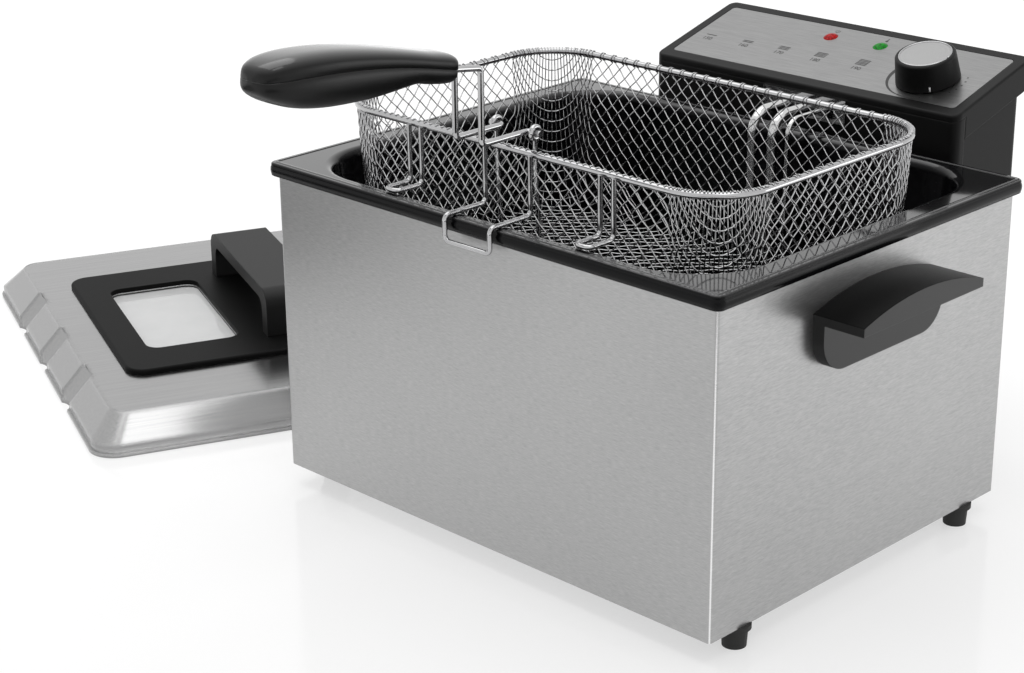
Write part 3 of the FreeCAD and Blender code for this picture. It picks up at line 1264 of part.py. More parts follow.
def make_lid_shell():
    outer = lid_solid(0, 0).cut(lid_flutes(FLUTE_RADIUS))
    inner = lid_solid(LID_SHEET, LID_SHEET).cut(lid_flutes(FLUTE_RADIUS + LID_SHEET))
    x = LID_LENGTH / 2
    y = LID_DEPTH / 2
    bead = rounded_block(-x - LID_BEAD, x + LID_BEAD, -y - LID_BEAD, y + LID_BEAD, 0, LID_BEAD_HEIGHT,
                         LID_CORNER_RADIUS + LID_BEAD)
    bead = bead.cut([rounded_block(-x, x, -y, y, 0, LID_BEAD_HEIGHT, LID_CORNER_RADIUS)])
    bead = bead.cut(lid_flutes(FLUTE_RADIUS))
    cuts = [inner, window_opening(0, 0, LID_HEIGHT + OVERRUN)]
    cuts += bridge_screw_holes(0, LID_HEIGHT + OVERRUN)
    shell = outer.cut(cuts).fuse(bead).removeSplitter()
    return on_lid(shell)


def make_lid_bezel():
    half = LID_BEZEL_LENGTH / 2
    plate = rounded_block(-half, half, LID_BEZEL_FRONT, LID_BEZEL_FRONT + LID_BEZEL_DEPTH,
                          LID_HEIGHT, LID_BEZEL_TOP, LID_BEZEL_RADIUS)
    plate = plate.makeFillet(LID_BEZEL_THICKNESS / 2, upper_edges(plate, LID_BEZEL_TOP))
    window = window_opening(0, LID_HEIGHT, LID_BEZEL_TOP)
    return on_lid(plate.cut([window] + bridge_screw_holes(LID_HEIGHT, LID_BEZEL_TOP)))


def make_window_seal():
    top = LID_HEIGHT - LID_SHEET
    ring = window_opening(WINDOW_LAP, top - SEAL_THICKNESS, top)
    return on_lid(ring.cut(window_opening(0, top - SEAL_THICKNESS, top)))


def make_lid_window():
    top = LID_HEIGHT - LID_SHEET - SEAL_THICKNESS
    return on_lid(window_opening(WINDOW_LAP, top - WINDOW_GLASS, top))


def across_edges(shape, height):
    """The upper edges of a bar that run straight across it."""
    return [edge for edge in upper_edges(shape, height) if edge.BoundBox.XLength < SAME]


def make_lid_handle():
    low = LID_BEZEL_TOP
    top = low + BRIDGE_HEIGHT
    half = BRIDGE_LENGTH / 2
    back = BRIDGE_FRONT + BRIDGE_WIDTH
    bar = block(-half, half, BRIDGE_FRONT, back, low, top)
    bar = bar.makeFillet(BRIDGE_SHOULDER, across_edges(bar, top))
    ceiling = top - BRIDGE_THICKNESS
    gap = block(-half + BRIDGE_LEG, half - BRIDGE_LEG, BRIDGE_FRONT, back, low, ceiling)
    gap = gap.makeFillet(BRIDGE_THICKNESS, across_edges(gap, ceiling))
    bores = bridge_screw_holes(low, low + BRIDGE_SCREW_DEPTH + HOLE_SPARE)
    return on_lid(bar.cut([gap] + bores))


def make_lid_handle_screws():
    seat = LID_HEIGHT - LID_SHEET
    screws = []
    for x, y in bridge_screw_places():
        head = cylinder(SCREW_HEAD_DIAMETER, V(x, y, seat - SCREW_HEAD_HEIGHT), V(x, y, seat))
        shank = cylinder(BRIDGE_SCREW_DIAMETER, V(x, y, seat), V(x, y, LID_BEZEL_TOP + BRIDGE_SCREW_DEPTH))
        screws.append(head.fuse(shank))
    return on_lid(Part.makeCompound(screws))


def make_parts():
    right_handle = make_carry_handle()
    return {
        "housing_shell": make_housing_shell(),
        "base_plate": make_base_plate(),
        "feet": make_feet(),
        "foot_screws": make_foot_screws(),
        "right_carry_handle": right_handle,
        "left_carry_handle": mirror_x(right_handle),
        "carry_handle_screws": make_carry_handle_screws(),
        "guide_rails": make_guide_rails(),
        "rail_rivets": make_rail_rivets(),
        "inner_pot": make_inner_pot(),
        "control_case_front": make_case_front(),
        "control_case_rear": make_case_rear(),
        "case_screws": make_case_screws(),
        "control_bezel": make_bezel(),
        "panel_plate": make_panel_plate(),
        "power_lamp_lens": make_lamp_lens(-LAMP_X),
        "ready_lamp_lens": make_lamp_lens(LAMP_X),
        "lamp_holders": make_lamp_holders(),
        "thermostat_body": make_thermostat_body(),
        "heating_element": make_heating_element(),
        "element_plate": make_element_plate(),
        "element_supports": make_element_supports(),
        "thermostat_sensor": make_thermostat_sensor(),
        "thermal_cutout": make_thermal_cutout(),
        "terminal_block": make_terminal_block(),
        "safety_switch": make_safety_switch(),
        "cord_gland": make_cord_gland(),
        "reset_button": make_reset_button(),
        "knob_body": make_knob_body(),
        "knob_cap": make_knob_cap(),
        "thermostat_spindle": make_thermostat_spindle(),
        "basket_front_mesh": make_long_wall(BASKET_FRONT_Y, V(0, -1, 0)),
        "basket_rear_mesh": make_long_wall(BASKET_REAR_Y, V(0, 1, 0)),
        "basket_left_mesh": make_short_wall(-1),
        "basket_right_mesh": make_short_wall(1),
        "basket_corner_mesh": make_corner_walls(),
        "basket_floor_mesh": make_basket_floor(),
        "basket_rim_wire": make_basket_rim(),
        "basket_rest_feet": make_rest_feet(),
        "drain_hook": make_drain_hook(),
        "handle_eyes": make_handle_eyes(),
        "handle_wire": make_handle_wire(),
        "grip_upper_half": make_grip_half(True),
        "grip_lower_half": make_grip_half(False),
        "grip_screws": make_grip_screws(),
        "lid_shell": make_lid_shell(),
        "lid_bezel": make_lid_bezel(),
        "window_seal": make_window_seal(),
        "lid_window": make_lid_window(),
        "lid_handle": make_lid_handle(),
        "lid_handle_screws": make_lid_handle_screws(),
    }


os.makedirs("parts", exist_ok=True)
for name, shape in make_parts().items():
    shape.translate(-origin)
    shape.exportStep(os.path.join("parts", name + ".step"))
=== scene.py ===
import bmesh
import bpy
import json
import math
from mathutils import Matrix, Vector


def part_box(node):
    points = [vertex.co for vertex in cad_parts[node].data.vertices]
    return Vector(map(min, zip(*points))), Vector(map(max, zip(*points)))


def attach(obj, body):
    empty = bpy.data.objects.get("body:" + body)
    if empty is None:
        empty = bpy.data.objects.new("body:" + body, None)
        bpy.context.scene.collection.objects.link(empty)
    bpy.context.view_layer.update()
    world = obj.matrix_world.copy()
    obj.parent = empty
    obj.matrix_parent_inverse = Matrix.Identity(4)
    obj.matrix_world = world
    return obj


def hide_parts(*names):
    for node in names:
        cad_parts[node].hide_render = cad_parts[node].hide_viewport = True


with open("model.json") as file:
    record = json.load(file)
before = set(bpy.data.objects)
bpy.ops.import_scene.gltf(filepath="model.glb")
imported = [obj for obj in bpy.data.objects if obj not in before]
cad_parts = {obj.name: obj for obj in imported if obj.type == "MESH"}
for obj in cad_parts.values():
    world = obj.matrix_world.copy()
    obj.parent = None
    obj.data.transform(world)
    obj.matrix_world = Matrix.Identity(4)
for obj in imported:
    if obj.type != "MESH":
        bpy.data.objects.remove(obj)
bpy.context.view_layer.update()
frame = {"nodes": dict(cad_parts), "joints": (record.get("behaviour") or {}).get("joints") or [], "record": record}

# Camera, measured from the floor between the four feet and matched to the 1024 x 673 photograph
CAMERA_PLACE = Vector((0.8519, -0.9664, 0.6027))
CAMERA_AZIMUTH = math.radians(44.857)
CAMERA_ELEVATION = math.radians(20.981)
CAMERA_ROLL = math.radians(-0.619)
CAMERA_LENS = 78.23
SENSOR_WIDTH = 36.0

# Studio room and floor
WORLD_LIGHT = 0.6
FLOOR_WIDTH = 60.0
FLOOR_TONE = 0.5
FLOOR_LIFT = 0.53
FLOOR_ROUGHNESS = 0.12
FLOOR_SHINE = 0.3

# Softboxes: each with its name, its place, the place it points at, its size and its power in watts;
# these places and the next ones are measured from the floor between the four feet
SOFTBOXES = (
    ("top_softbox", Vector((-0.6, 0.1, 2.2)), Vector((0, 0, 0.1)), (1.8, 2.0), 16),
    ("front_strip", Vector((0.9, -0.25, 2.2)), Vector((0.9, -0.25, 1.2)), (0.7, 0.9), 4.2),
    ("rear_card", Vector((1.9, 1.7, 0.4)), Vector((0, 0, 0.1)), (0.8, 0.6), 4),
)

# Dark cards that only show in what shines: each with its place, its size and its turn
DARK_CARDS = (
    (Vector((0.74, -0.74, 0.002)), (1.1, 0.55), math.radians(45)),
    (Vector((-0.68, -0.55, 0.002)), (0.4, 0.4), 0.0),
)
SEEN_RAYS = ("Is Camera Ray", "Is Glossy Ray", "Is Transmission Ray")

# The four corners of anything with straight sides, by the side they are on, counted from the rear right
CORNER_SIDES = ((1, 1), (-1, 1), (-1, -1), (1, -1))

# Lid, as it lies on the floor
LID_YAW = math.radians(-23.4)

# Brushed sheets: the marks per metre along X, Y and Z and the two tones of each sheet, how soft the
# lid's creases look, and how coarse, strong and deep the marks are
CASE_GRAIN = (200, 200, 2300)
CASE_TONES = (0.365, 0.475)
LID_GRAIN = (1500, 12, 1500)
LID_TONES = (0.33, 0.385)
LID_CREASE = 0.004
PANEL_GRAIN = (60, 2200, 2200)
PANEL_TONES = (0.24, 0.31)
COARSE_SHARE = 0.3
GRAIN_STRENGTH = 0.04
GRAIN_DEPTH = 0.0002

# Bends of the case's sheet, painted bright as a highlight
BEND_HIGHLIGHT_WIDTH = 0.0008
BEND_HIGHLIGHT_FADE = 0.0005
BEND_HIGHLIGHT_TONE = 0.93

# Heating tube: how far above the pot's floor the brown of the heat fades out
BROWN_FADE = 0.09

# Fine rings turned into the knob's disc, counted per metre of its radius
SPUN_RINGS = 2600.0

# Woven wire of the basket
WEAVE_PITCH = 0.0069
WEAVE_WIRE = 0.0008
WEAVE_CRIMP = 0.00035
WEAVE_SIDES = 5
WEAVE_STEPS = 3
WEAVE_PROBE = WEAVE_PITCH / 20
BASKET_CORNER = 0.038
BASKET_DRAFT = math.radians(3.0)
BASKET_FOOT_RADIUS = 0.010
WRAP_STEPS = 8
WRAP_TURN = math.radians(215)
WRAP_DRIFT = 1.2

# Rolled edge of the pot's rim, measured inward from the rim's outer edge and up from its top
RIM_CORNER = 0.005
ROLL_PROUD = 0.0006
ROLL_RISE = 0.0004
ROLL_LAP = 0.0049
ROLL_CREST = 0.0042
ROLL_FOOT = 0.0010
ROLL_DEPTH = 0.0086
ROLL_STEPS = 8

# Grip: its place from the handle's hinge, and its form in stations along its seam,
# each with its share of the length, its top and bottom across the seam and its half width
GRIP_ARM = Vector((0, -0.037, 0.043))
GRIP_START = 0.018
GRIP_TILT = math.radians(8.5)
GRIP_LENGTH = 0.1338
GRIP_STATIONS = (
    (0.00, 0.0058, -0.0050, 0.0105),
    (0.01, 0.0074, -0.0068, 0.0128),
    (0.04, 0.0086, -0.0082, 0.0140),
    (0.14, 0.0096, -0.0082, 0.0142),
    (0.20, 0.0104, -0.0076, 0.0142),
    (0.28, 0.0114, -0.0098, 0.0146),
    (0.38, 0.0124, -0.0128, 0.0152),
    (0.48, 0.0131, -0.0150, 0.0158),
    (0.60, 0.0134, -0.0167, 0.0164),
    (0.70, 0.0130, -0.0174, 0.0166),
    (0.81, 0.0117, -0.0169, 0.0162),
    (0.90, 0.0096, -0.0147, 0.0150),
    (0.96, 0.0068, -0.0118, 0.0126),
    (0.99, 0.0034, -0.0086, 0.0088),
    (1.00, -0.0016, -0.0044, 0.0020),
)
GRIP_SEAM_RISE = 0.0035
GRIP_SEAM_DROOP = 0.003
GRIP_DROOP_POWER = 3
GRIP_ROUNDING = 0.6
GRIP_RINGS = 60
GRIP_STEPS = 20
SEAM_GROOVE = 0.0003

# Printing on the panel, measured from the knob's axis along the panel
PRINT_LIFT = 0.00006
ARC_STEPS = 48
DIAL_RADIUS = 0.0250
DIAL_WIDE = 0.0028
DIAL_FINE = 0.0004
DIAL_TAPER = 1.5
DIAL_START = math.radians(162)
DIAL_END = math.radians(292)
DISC_SIDES = 20
DOT_RADIUS = 0.00065
DOT_ANGLES = [math.radians(angle) for angle in (-68, -24, -12, 0, 12, 24)]
NUMBER_HEIGHT = 0.0052
NUMBER_SLOPE = -0.006
NUMBER_PLACES = (-0.177, -0.146, -0.116, -0.086, -0.053)
NUMBERS = ("150", "160", "170", "180", "190")
HEAT_BAR = 0.0042
HEAT_GAP = 0.0016
HEAT_LIFT = 0.0062
LAMP_MARK_RISE = 0.0085
LAMP_MARK_RADIUS = 0.0014
LAMP_MARK_LINE = 0.00035
LAMP_MARK_GAP = math.radians(40)
LAMP_DISC_RADIUS = 0.00098

# Knob trim
PIP_ANGLE = math.radians(-52)
PIP_LOW = 0.0016
PIP_HIGH = 0.0042
PIP_RADIUS = 0.00055
PIP_SIDES = 10
TRIM_WIRE = 0.0005
TRIM_SIDES = 8


class Value:
    """A shader socket that takes part in sums; each sum adds one Math node."""

    def __init__(self, shading, socket):
        self.shading = shading
        self.socket = socket

    def sum(self, operation, first, second):
        """The value of one Math node on two values or numbers."""
        return self.shading.node("ShaderNodeMath", {"operation": operation}, {0: first, 1: second})

    def __add__(self, other):
        return self.sum("ADD", self, other)

    def __radd__(self, other):
        return self.sum("ADD", other, self)

    def __sub__(self, other):
        return self.sum("SUBTRACT", self, other)

    def __rsub__(self, other):
        return self.sum("SUBTRACT", other, self)

    def __mul__(self, other):
        return self.sum("MULTIPLY", self, other)

    def __rmul__(self, other):
        return self.sum("MULTIPLY", other, self)

    def __abs__(self):
        return self.sum("ABSOLUTE", self, 0)


class Shading:
    """A node tree, with one way to add nodes to it."""

    def __init__(self, tree):
        self.tree = tree

    def node(self, kind, settings=None, inputs=None, output=0):
        """Add a node, set it up, fill or link its sockets and hand back one output."""
        made = self.tree.nodes.new(kind)
        for key, value in (settings or {}).items():
            setattr(made, key, value)
        for key, value in (inputs or {}).items():
            self.feed(made.inputs[key], value)
        return Value(self, made.outputs[output])

    def feed(self, socket, value):
        """Link a value to a socket, or set the socket to a number or colour."""
        if isinstance(value, Value):
            self.tree.links.new(value.socket, socket)
        else:
            socket.default_value = value

    def spread(self, mask, low, high):
        """A mask stretched so that low becomes 0 and high becomes 1, clipped."""
        inputs = {"Value": mask, "From Min": low, "From Max": high}
        return self.node("ShaderNodeMapRange", None, inputs)

    def seen(self):
        """1 where it is seen straight, in a reflection or through glass; 0 where it lights things."""
        camera, glossy, through = (self.node("ShaderNodeLightPath", output=ray) for ray in SEEN_RAYS)
        return self.spread(camera + glossy + through, low=0, high=1)


class Finish(Shading):
    """One material, with its surface shader and the nodes that vary it."""

    def __init__(self, name):
        self.material = bpy.data.materials.new(name)
        self.material.use_nodes = True
        super().__init__(self.material.node_tree)
        self.shader = self.tree.nodes["Principled BSDF"]

    def set(self, **sockets):
        """Fill or link sockets of the surface shader, named with underscores."""
        for key, value in sockets.items():
            self.feed(self.shader.inputs[key.replace("_", " ")], value)
        return self

    def place(self):
        """The place on the surface, in metres."""
        return self.node("ShaderNodeTexCoord", output="Object")

    def along(self, axis):
        """The place on the surface along one axis."""
        return self.node("ShaderNodeSeparateXYZ", None, {"Vector": self.place()}, axis)

    def stretched(self, scale, turn):
        """The place on the surface, turned about Z and stretched by a factor on each axis."""
        shrink = [1 / factor for factor in scale]
        inputs = {"Vector": self.place(), "Rotation": (0, 0, turn), "Scale": shrink}
        return self.node("ShaderNodeMapping", {"vector_type": "TEXTURE"}, inputs)

    def noise(self, where, scale, detail=2.0, roughness=0.5):
        """Cloudy noise from 0 to 1, with about as many clouds per unit of its place as its scale."""
        inputs = {"Vector": where, "Scale": scale, "Detail": detail, "Roughness": roughness}
        return self.node("ShaderNodeTexNoise", None, inputs, "Fac")

    def upward(self):
        """1 where the surface faces up, 0 where it faces sideways and -1 where it faces down."""
        normal = self.node("ShaderNodeNewGeometry", output="Normal")
        return self.node("ShaderNodeSeparateXYZ", None, {"Vector": normal}, "Z")

    def blend(self, mask, low, high):
        """A colour between two colours, chosen by a mask from 0 to 1."""
        ends = [end if isinstance(end, Value) else (*end, 1) for end in (low, high)]
        inputs = {"Factor": mask, 6: ends[0], 7: ends[1]}
        return self.node("ShaderNodeMix", {"data_type": "RGBA"}, inputs, 2)

    def relief(self, height, strength, distance, edge=0.0):
        """Raise the surface by a height, and soften its edges as far as the given radius."""
        inputs = {"Height": height, "Strength": strength, "Distance": distance}
        if edge:
            inputs["Normal"] = self.node("ShaderNodeBevel", None, {"Radius": edge})
        self.set(Normal=self.node("ShaderNodeBump", None, inputs))
        return self


def brushed(finish, grain, turn, dark, light):
    """The colour and the grain of sheet steel brushed in one direction, with faint cloudiness."""
    coarse = [marks * COARSE_SHARE for marks in grain]
    fine = finish.noise(finish.stretched(grain, turn), scale=1.0, detail=3.0, roughness=0.6)
    lines = finish.noise(finish.stretched(coarse, turn), scale=1.0, detail=1.0)
    cloud = finish.noise(finish.place(), scale=9.0, detail=3.0)
    mask = finish.spread(fine * 0.8 + lines * 0.1 + cloud * 0.1, low=0.36, high=0.64)
    colour = finish.blend(mask, low=(dark, dark, dark * 1.005), high=(light, light, light * 0.995))
    return colour, fine


def make_brushed_steel(name, grain, turn, tones, rough, edge=0.0):
    """Sheet steel brushed in one direction, with creases that look as soft as the given radius."""
    finish = Finish(name)
    colour, fine = brushed(finish, grain, turn, *tones)
    finish.set(Base_Color=colour, Metallic=1.0, Roughness=rough + fine * 0.1)
    return finish.relief(fine, GRAIN_STRENGTH, GRAIN_DEPTH, edge).material


def make_case_steel():
    """The case's sheet: a fine soft grain that runs level all round, and a painted highlight along its bends."""
    low, high = (Vector(corner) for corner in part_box("housing_shell"))
    middle = (low + high) / 2
    half = (high - low) / 2
    finish = Finish("case_steel")
    colour, fine = brushed(finish, CASE_GRAIN, 0.0, *CASE_TONES)
    bend_highlight = 1.0
    for axis, centre, reach in (("X", middle.x, half.x), ("Y", middle.y, half.y)):
        out = abs(finish.along(axis) - centre)
        bend_highlight = finish.spread(out, reach - BEND_HIGHLIGHT_WIDTH - BEND_HIGHLIGHT_FADE, reach - BEND_HIGHLIGHT_WIDTH) * bend_highlight
    # Painted highlight: the case's bends are coloured near white.
    finish.set(Base_Color=finish.blend(bend_highlight, low=colour, high=(BEND_HIGHLIGHT_TONE,) * 3), Metallic=1.0)
    finish.set(Roughness=0.3 + fine * 0.1 - bend_highlight * 0.12)
    return finish.relief(fine, GRAIN_STRENGTH, GRAIN_DEPTH).material


def make_zinc_steel():
    """Plated sheet and screws with a pale crystal pattern."""
    finish = Finish("zinc_steel")
    inputs = {"Vector": finish.place(), "Scale": 240.0}
    crystals = finish.node("ShaderNodeTexVoronoi", None, inputs, "Color")
    grey = finish.node("ShaderNodeRGBToBW", None, {"Color": crystals})
    finish.set(Base_Color=finish.blend(grey, low=(0.42, 0.43, 0.44), high=(0.56, 0.57, 0.57)))
    return finish.set(Metallic=1.0, Roughness=0.3 + grey * 0.15).material


def make_black_enamel():
    """Black enamel with a slight ripple and tiny pale specks, and a painted sheen where it faces up."""
    finish = Finish("black_enamel")
    ripple = finish.noise(finish.place(), scale=45.0)
    specks = finish.spread(finish.noise(finish.place(), scale=900.0, detail=1.0), low=0.74, high=0.8)
    level = finish.spread(finish.upward(), low=0.4, high=0.95)
    finish.set(Base_Color=finish.blend(specks, low=(0.004, 0.004, 0.0045), high=(0.03, 0.03, 0.031)))
    finish.set(Roughness=0.05 + ripple * 0.05, Specular_IOR_Level=0.12)
    # Painted sheen: more coat on faces that point up, so the rim's top shines and its sides stay dark.
    finish.set(Coat_Weight=level * 0.75, Coat_Roughness=0.06)
    return finish.relief(ripple, strength=0.02, distance=0.0006, edge=0.0025).material


def make_black_plastic(name, tone, rough, shine, sides=0.0, crown_sheen=0.0):
    """Moulded black plastic with a fine eroded texture, and a painted sheen on its sides and on its crown as
    asked.
    """
    finish = Finish(name)
    grain = finish.noise(finish.place(), scale=1700.0, detail=3.0, roughness=0.6)
    patches = finish.noise(finish.place(), scale=22.0, detail=3.0)
    shade = finish.spread(patches, low=0.3, high=0.7)
    finish.set(Base_Color=finish.blend(shade, low=(tone * 0.85,) * 3, high=(tone * 1.2,) * 3))
    finish.set(Roughness=rough + grain * 0.1 + patches * 0.06, Specular_IOR_Level=shine)
    # Painted sheen: more coat on faces that stand upright, so the sides look lighter than the tops.
    if sides:
        level = finish.spread(abs(finish.upward()), low=0.2, high=0.8)
        finish.set(Coat_Weight=(1 - level) * sides, Coat_Roughness=rough)
    # Painted sheen: more coat on faces that point up, lighting the crown.
    if crown_sheen:
        level = finish.spread(finish.upward(), low=0.35, high=0.8)
        finish.set(Coat_Weight=level * crown_sheen, Coat_Roughness=rough / 2)
    return finish.relief(grain, strength=0.12, distance=0.0001, edge=0.0015).material


def make_chrome():
    """Bright chromed wire with a little haze."""
    finish = Finish("chrome_wire")
    haze = finish.noise(finish.place(), scale=60.0, detail=4.0)
    finish.set(Base_Color=finish.blend(haze, low=(0.36, 0.36, 0.37), high=(0.53, 0.53, 0.53)))
    return finish.set(Metallic=1.0, Roughness=0.04 + haze * 0.1).material


def make_element_steel(pot_floor):
    """Heating tube: bright above the oil, browned by heat low in the pot."""
    finish = Finish("element_steel")
    height = finish.along("Z")
    stain = finish.noise(finish.place(), scale=18.0)
    hot = 1 - finish.spread(height + stain * 0.05, pot_floor, pot_floor + BROWN_FADE)
    finish.set(Base_Color=finish.blend(hot * stain, low=(0.62, 0.62, 0.62), high=(0.3, 0.27, 0.23)))
    return finish.set(Metallic=1.0, Roughness=0.1 + stain * 0.12).material


def make_spun_steel(centre, axis):
    """Knob disc with fine rings turned round its centre."""
    finish = Finish("spun_steel")
    offset = finish.node("ShaderNodeVectorMath", {"operation": "SUBTRACT"}, {0: finish.place(), 1: centre})
    across = finish.node("ShaderNodeVectorMath", {"operation": "CROSS_PRODUCT"}, {0: offset, 1: axis})
    radius = finish.node("ShaderNodeVectorMath", {"operation": "LENGTH"}, {0: across}, "Value")
    inputs = {"W": radius * SPUN_RINGS, "Scale": 1.0, "Detail": 3.0}
    rings = finish.node("ShaderNodeTexNoise", {"noise_dimensions": "1D"}, inputs, "Fac")
    finish.set(Base_Color=finish.blend(rings, low=(0.3, 0.3, 0.3), high=(0.46, 0.46, 0.46)))
    finish.set(Metallic=1.0, Roughness=0.24 + rings * 0.16)
    return finish.relief(rings, strength=0.08, distance=GRAIN_DEPTH).material


def make_lens(name, colour, glow):
    """Clear coloured lamp lens, a little darker in its moulded facets."""
    finish = Finish(name)
    inputs = {"Vector": finish.place(), "Scale": 700.0}
    facets = finish.node("ShaderNodeTexVoronoi", None, inputs, "Distance")
    deep = [part * 0.35 for part in colour]
    shade = finish.blend(finish.spread(facets, low=0.2, high=0.8), low=colour, high=deep)
    finish.set(Base_Color=shade, Roughness=0.12, Specular_IOR_Level=0.12)
    return finish.set(Emission_Color=shade, Emission_Strength=glow).material


def make_rubber():
    """Dull black rubber with dusty patches."""
    finish = Finish("black_rubber")
    dust = finish.noise(finish.place(), scale=140.0, detail=4.0)
    finish.set(Base_Color=finish.blend(dust, low=(0.008, 0.008, 0.008), high=(0.025, 0.025, 0.024)))
    finish.set(Roughness=0.55 + dust * 0.25)
    return finish.relief(dust, strength=0.1, distance=0.0003).material


def make_component_plastic():
    """Pale moulded plastic of the electrical parts."""
    finish = Finish("component_plastic")
    mottle = finish.noise(finish.place(), scale=75.0, detail=3.0)
    finish.set(Base_Color=finish.blend(mottle, low=(0.46, 0.44, 0.39), high=(0.56, 0.54, 0.49)))
    return finish.set(Roughness=0.45 + mottle * 0.2).material


def make_window_glass():
    """Thin pane with a pale haze, which lets some light through to what lies below; its pale colour is partly haze
    and partly a painted reflection of the white room.
    """
    finish = Finish("window_glass")
    haze = finish.noise(finish.place(), scale=30.0, detail=3.0)
    # Pale base colour: partly haze, partly a painted reflection of the white room.
    finish.set(Base_Color=finish.blend(haze, low=(0.84, 0.85, 0.85), high=(0.9, 0.9, 0.9)))
    return finish.set(Roughness=0.03 + haze * 0.05, Alpha=0.6 + haze * 0.1, IOR=1.5).material


def make_print(name, tone):
    """Ink or paint printed on a piece, a little uneven."""
    finish = Finish(name)
    wear = finish.noise(finish.place(), scale=800.0)
    finish.set(Base_Color=finish.blend(wear, low=(tone * 0.8,) * 3, high=(tone * 1.2,) * 3))
    return finish.set(Roughness=0.5 + wear * 0.2).material


def make_red_button():
    """Red plastic of the reset button, dulled by wear."""
    finish = Finish("red_button")
    wear = finish.noise(finish.place(), scale=300.0, detail=3.0)
    finish.set(Base_Color=finish.blend(wear, low=(0.42, 0.02, 0.02), high=(0.55, 0.03, 0.03)))
    return finish.set(Roughness=0.25 + wear * 0.15).material


def joint_named(name):
    """One of the frame's joints, found by its name."""
    return next(joint for joint in frame["joints"] if joint["name"] == name)


def put_in_scene(name, data):
    """An object made of a mesh, a lamp or a camera, linked into the scene."""
    item = bpy.data.objects.new(name, data)
    bpy.context.scene.collection.objects.link(item)
    return item


def new_piece(name, mesh, body, material):
    """Put a mesh in the scene, riding on a body and finished in a material."""
    piece = put_in_scene(name, mesh)
    mesh.materials.append(material)
    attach(piece, body)
    return piece


def mesh_from(name, build):
    """A mesh filled by a function that is given an empty bmesh."""
    sheet = bmesh.new()
    build(sheet)
    mesh = bpy.data.meshes.new(name)
    sheet.to_mesh(mesh)
    sheet.free()
    return mesh


def join_rings(sheet, rings, flat_close=False):
    """Skin rings of points one after another; the strip that closes each ring can be left flat."""
    for before, after in zip(rings, rings[1:]):
        for step in range(len(before)):
            following = (step + 1) % len(before)
            face = sheet.faces.new((before[step], before[following], after[following], after[step]))
            face.smooth = following > 0 or not flat_close


def add_tube(sheet, points, radius, sides):
    """Skin a line of points with a round tube that does not twist."""
    heading = (points[1] - points[0]).normalized()
    side = heading.orthogonal().normalized()
    rings = []
    for index, point in enumerate(points):
        before = points[max(index - 1, 0)]
        after = points[min(index + 1, len(points) - 1)]
        heading = (after - before).normalized()
        side = (side - heading * side.dot(heading)).normalized()
        other = heading.cross(side)
        ring = []
        for step in range(sides):
            angle = math.tau * step / sides
            spoke = side * math.cos(angle) + other * math.sin(angle)
            ring.append(sheet.verts.new(point + spoke * radius))
        rings.append(ring)
    join_rings(sheet, rings)
    sheet.faces.new(reversed(rings[0]))
    sheet.faces.new(rings[-1])


class BasketForm:
    """The drafted basket as a surface that a flat sheet of weave is drawn onto."""

    def __init__(self):
        low, high = (Vector(corner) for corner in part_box("basket_rim_wire"))
        self.wire = (high.z - low.z) / 2
        self.rim = (high.z + low.z) / 2
        self.centre = Vector(((low.x + high.x) / 2, (low.y + high.y) / 2, 0))
        inner = self.wire + BASKET_CORNER
        self.core = ((high.x - low.x) / 2 - inner, (high.y - low.y) / 2 - inner)
        self.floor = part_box("basket_floor_mesh")[0][2]
        self.height = self.rim - self.wire - self.floor
        self.floor_radius = BASKET_CORNER - self.inset(0)
        self.reach = sum(self.core) * math.sqrt(0.5) + self.floor_radius + self.height

    def inset(self, rise):
        """How far the wall stands inside the rim at a height above the floor."""
        return (self.rim - self.floor - rise) * math.tan(BASKET_DRAFT)

    def outward(self, flat):
        """The nearest place between the middles of the corners, and the way out from there."""
        near = Vector([max(-reach, min(reach, part)) for part, reach in zip(flat, self.core)])
        return near, flat - near

    def climb(self, flat):
        """How far a point of the flat sheet lies beyond the edge of the basket's floor."""
        return self.outward(flat)[1].length - self.floor_radius

    def point(self, flat):
        """Where a point of the flat sheet ends up: on the floor, round its edge or up a wall."""
        near, out = self.outward(flat)
        along = out.length - self.floor_radius
        foot = BASKET_FOOT_RADIUS
        inward = max(-along, 0)
        rise = max(along, 0)
        if abs(along) < foot:
            turn = (along + foot) / (2 * foot) * math.pi / 2
            inward = foot * (1 - math.sin(turn))
            rise = foot * (1 - math.cos(turn))
        spot = near + out.normalized() * (BASKET_CORNER - self.inset(rise) - inward)
        return self.centre + Vector((spot.x, spot.y, self.floor + WEAVE_WIRE + rise))

    def normal(self, flat):
        """The way out of the basket's surface at a point of the flat sheet."""
        right = Vector((WEAVE_PROBE, 0))
        rear = Vector((0, WEAVE_PROBE))
        across = self.point(flat + right) - self.point(flat - right)
        upward = self.point(flat + rear) - self.point(flat - rear)
        return across.cross(upward).normalized()

    def wrap(self, flat, hand):
        """The end of a wire, bent up the inner side of the rim wire and over its top."""
        near, out = self.outward(flat)
        facing = out.normalized().to_3d()
        middle = near.to_3d() + facing * BASKET_CORNER + self.centre + Vector((0, 0, self.rim))
        along = Vector((-facing.y, facing.x, 0)) * (hand * WEAVE_WIRE * WRAP_DRIFT)
        ring = self.wire + WEAVE_WIRE / 2
        points = []
        for step in range(WRAP_STEPS):
            share = step / (WRAP_STEPS - 1)
            turn = WRAP_TURN * share - math.pi / 2
            rise = Vector((0, 0, ring * math.sin(turn)))
            points.append(middle - facing * (ring * math.cos(turn)) + rise + along * share)
        return points


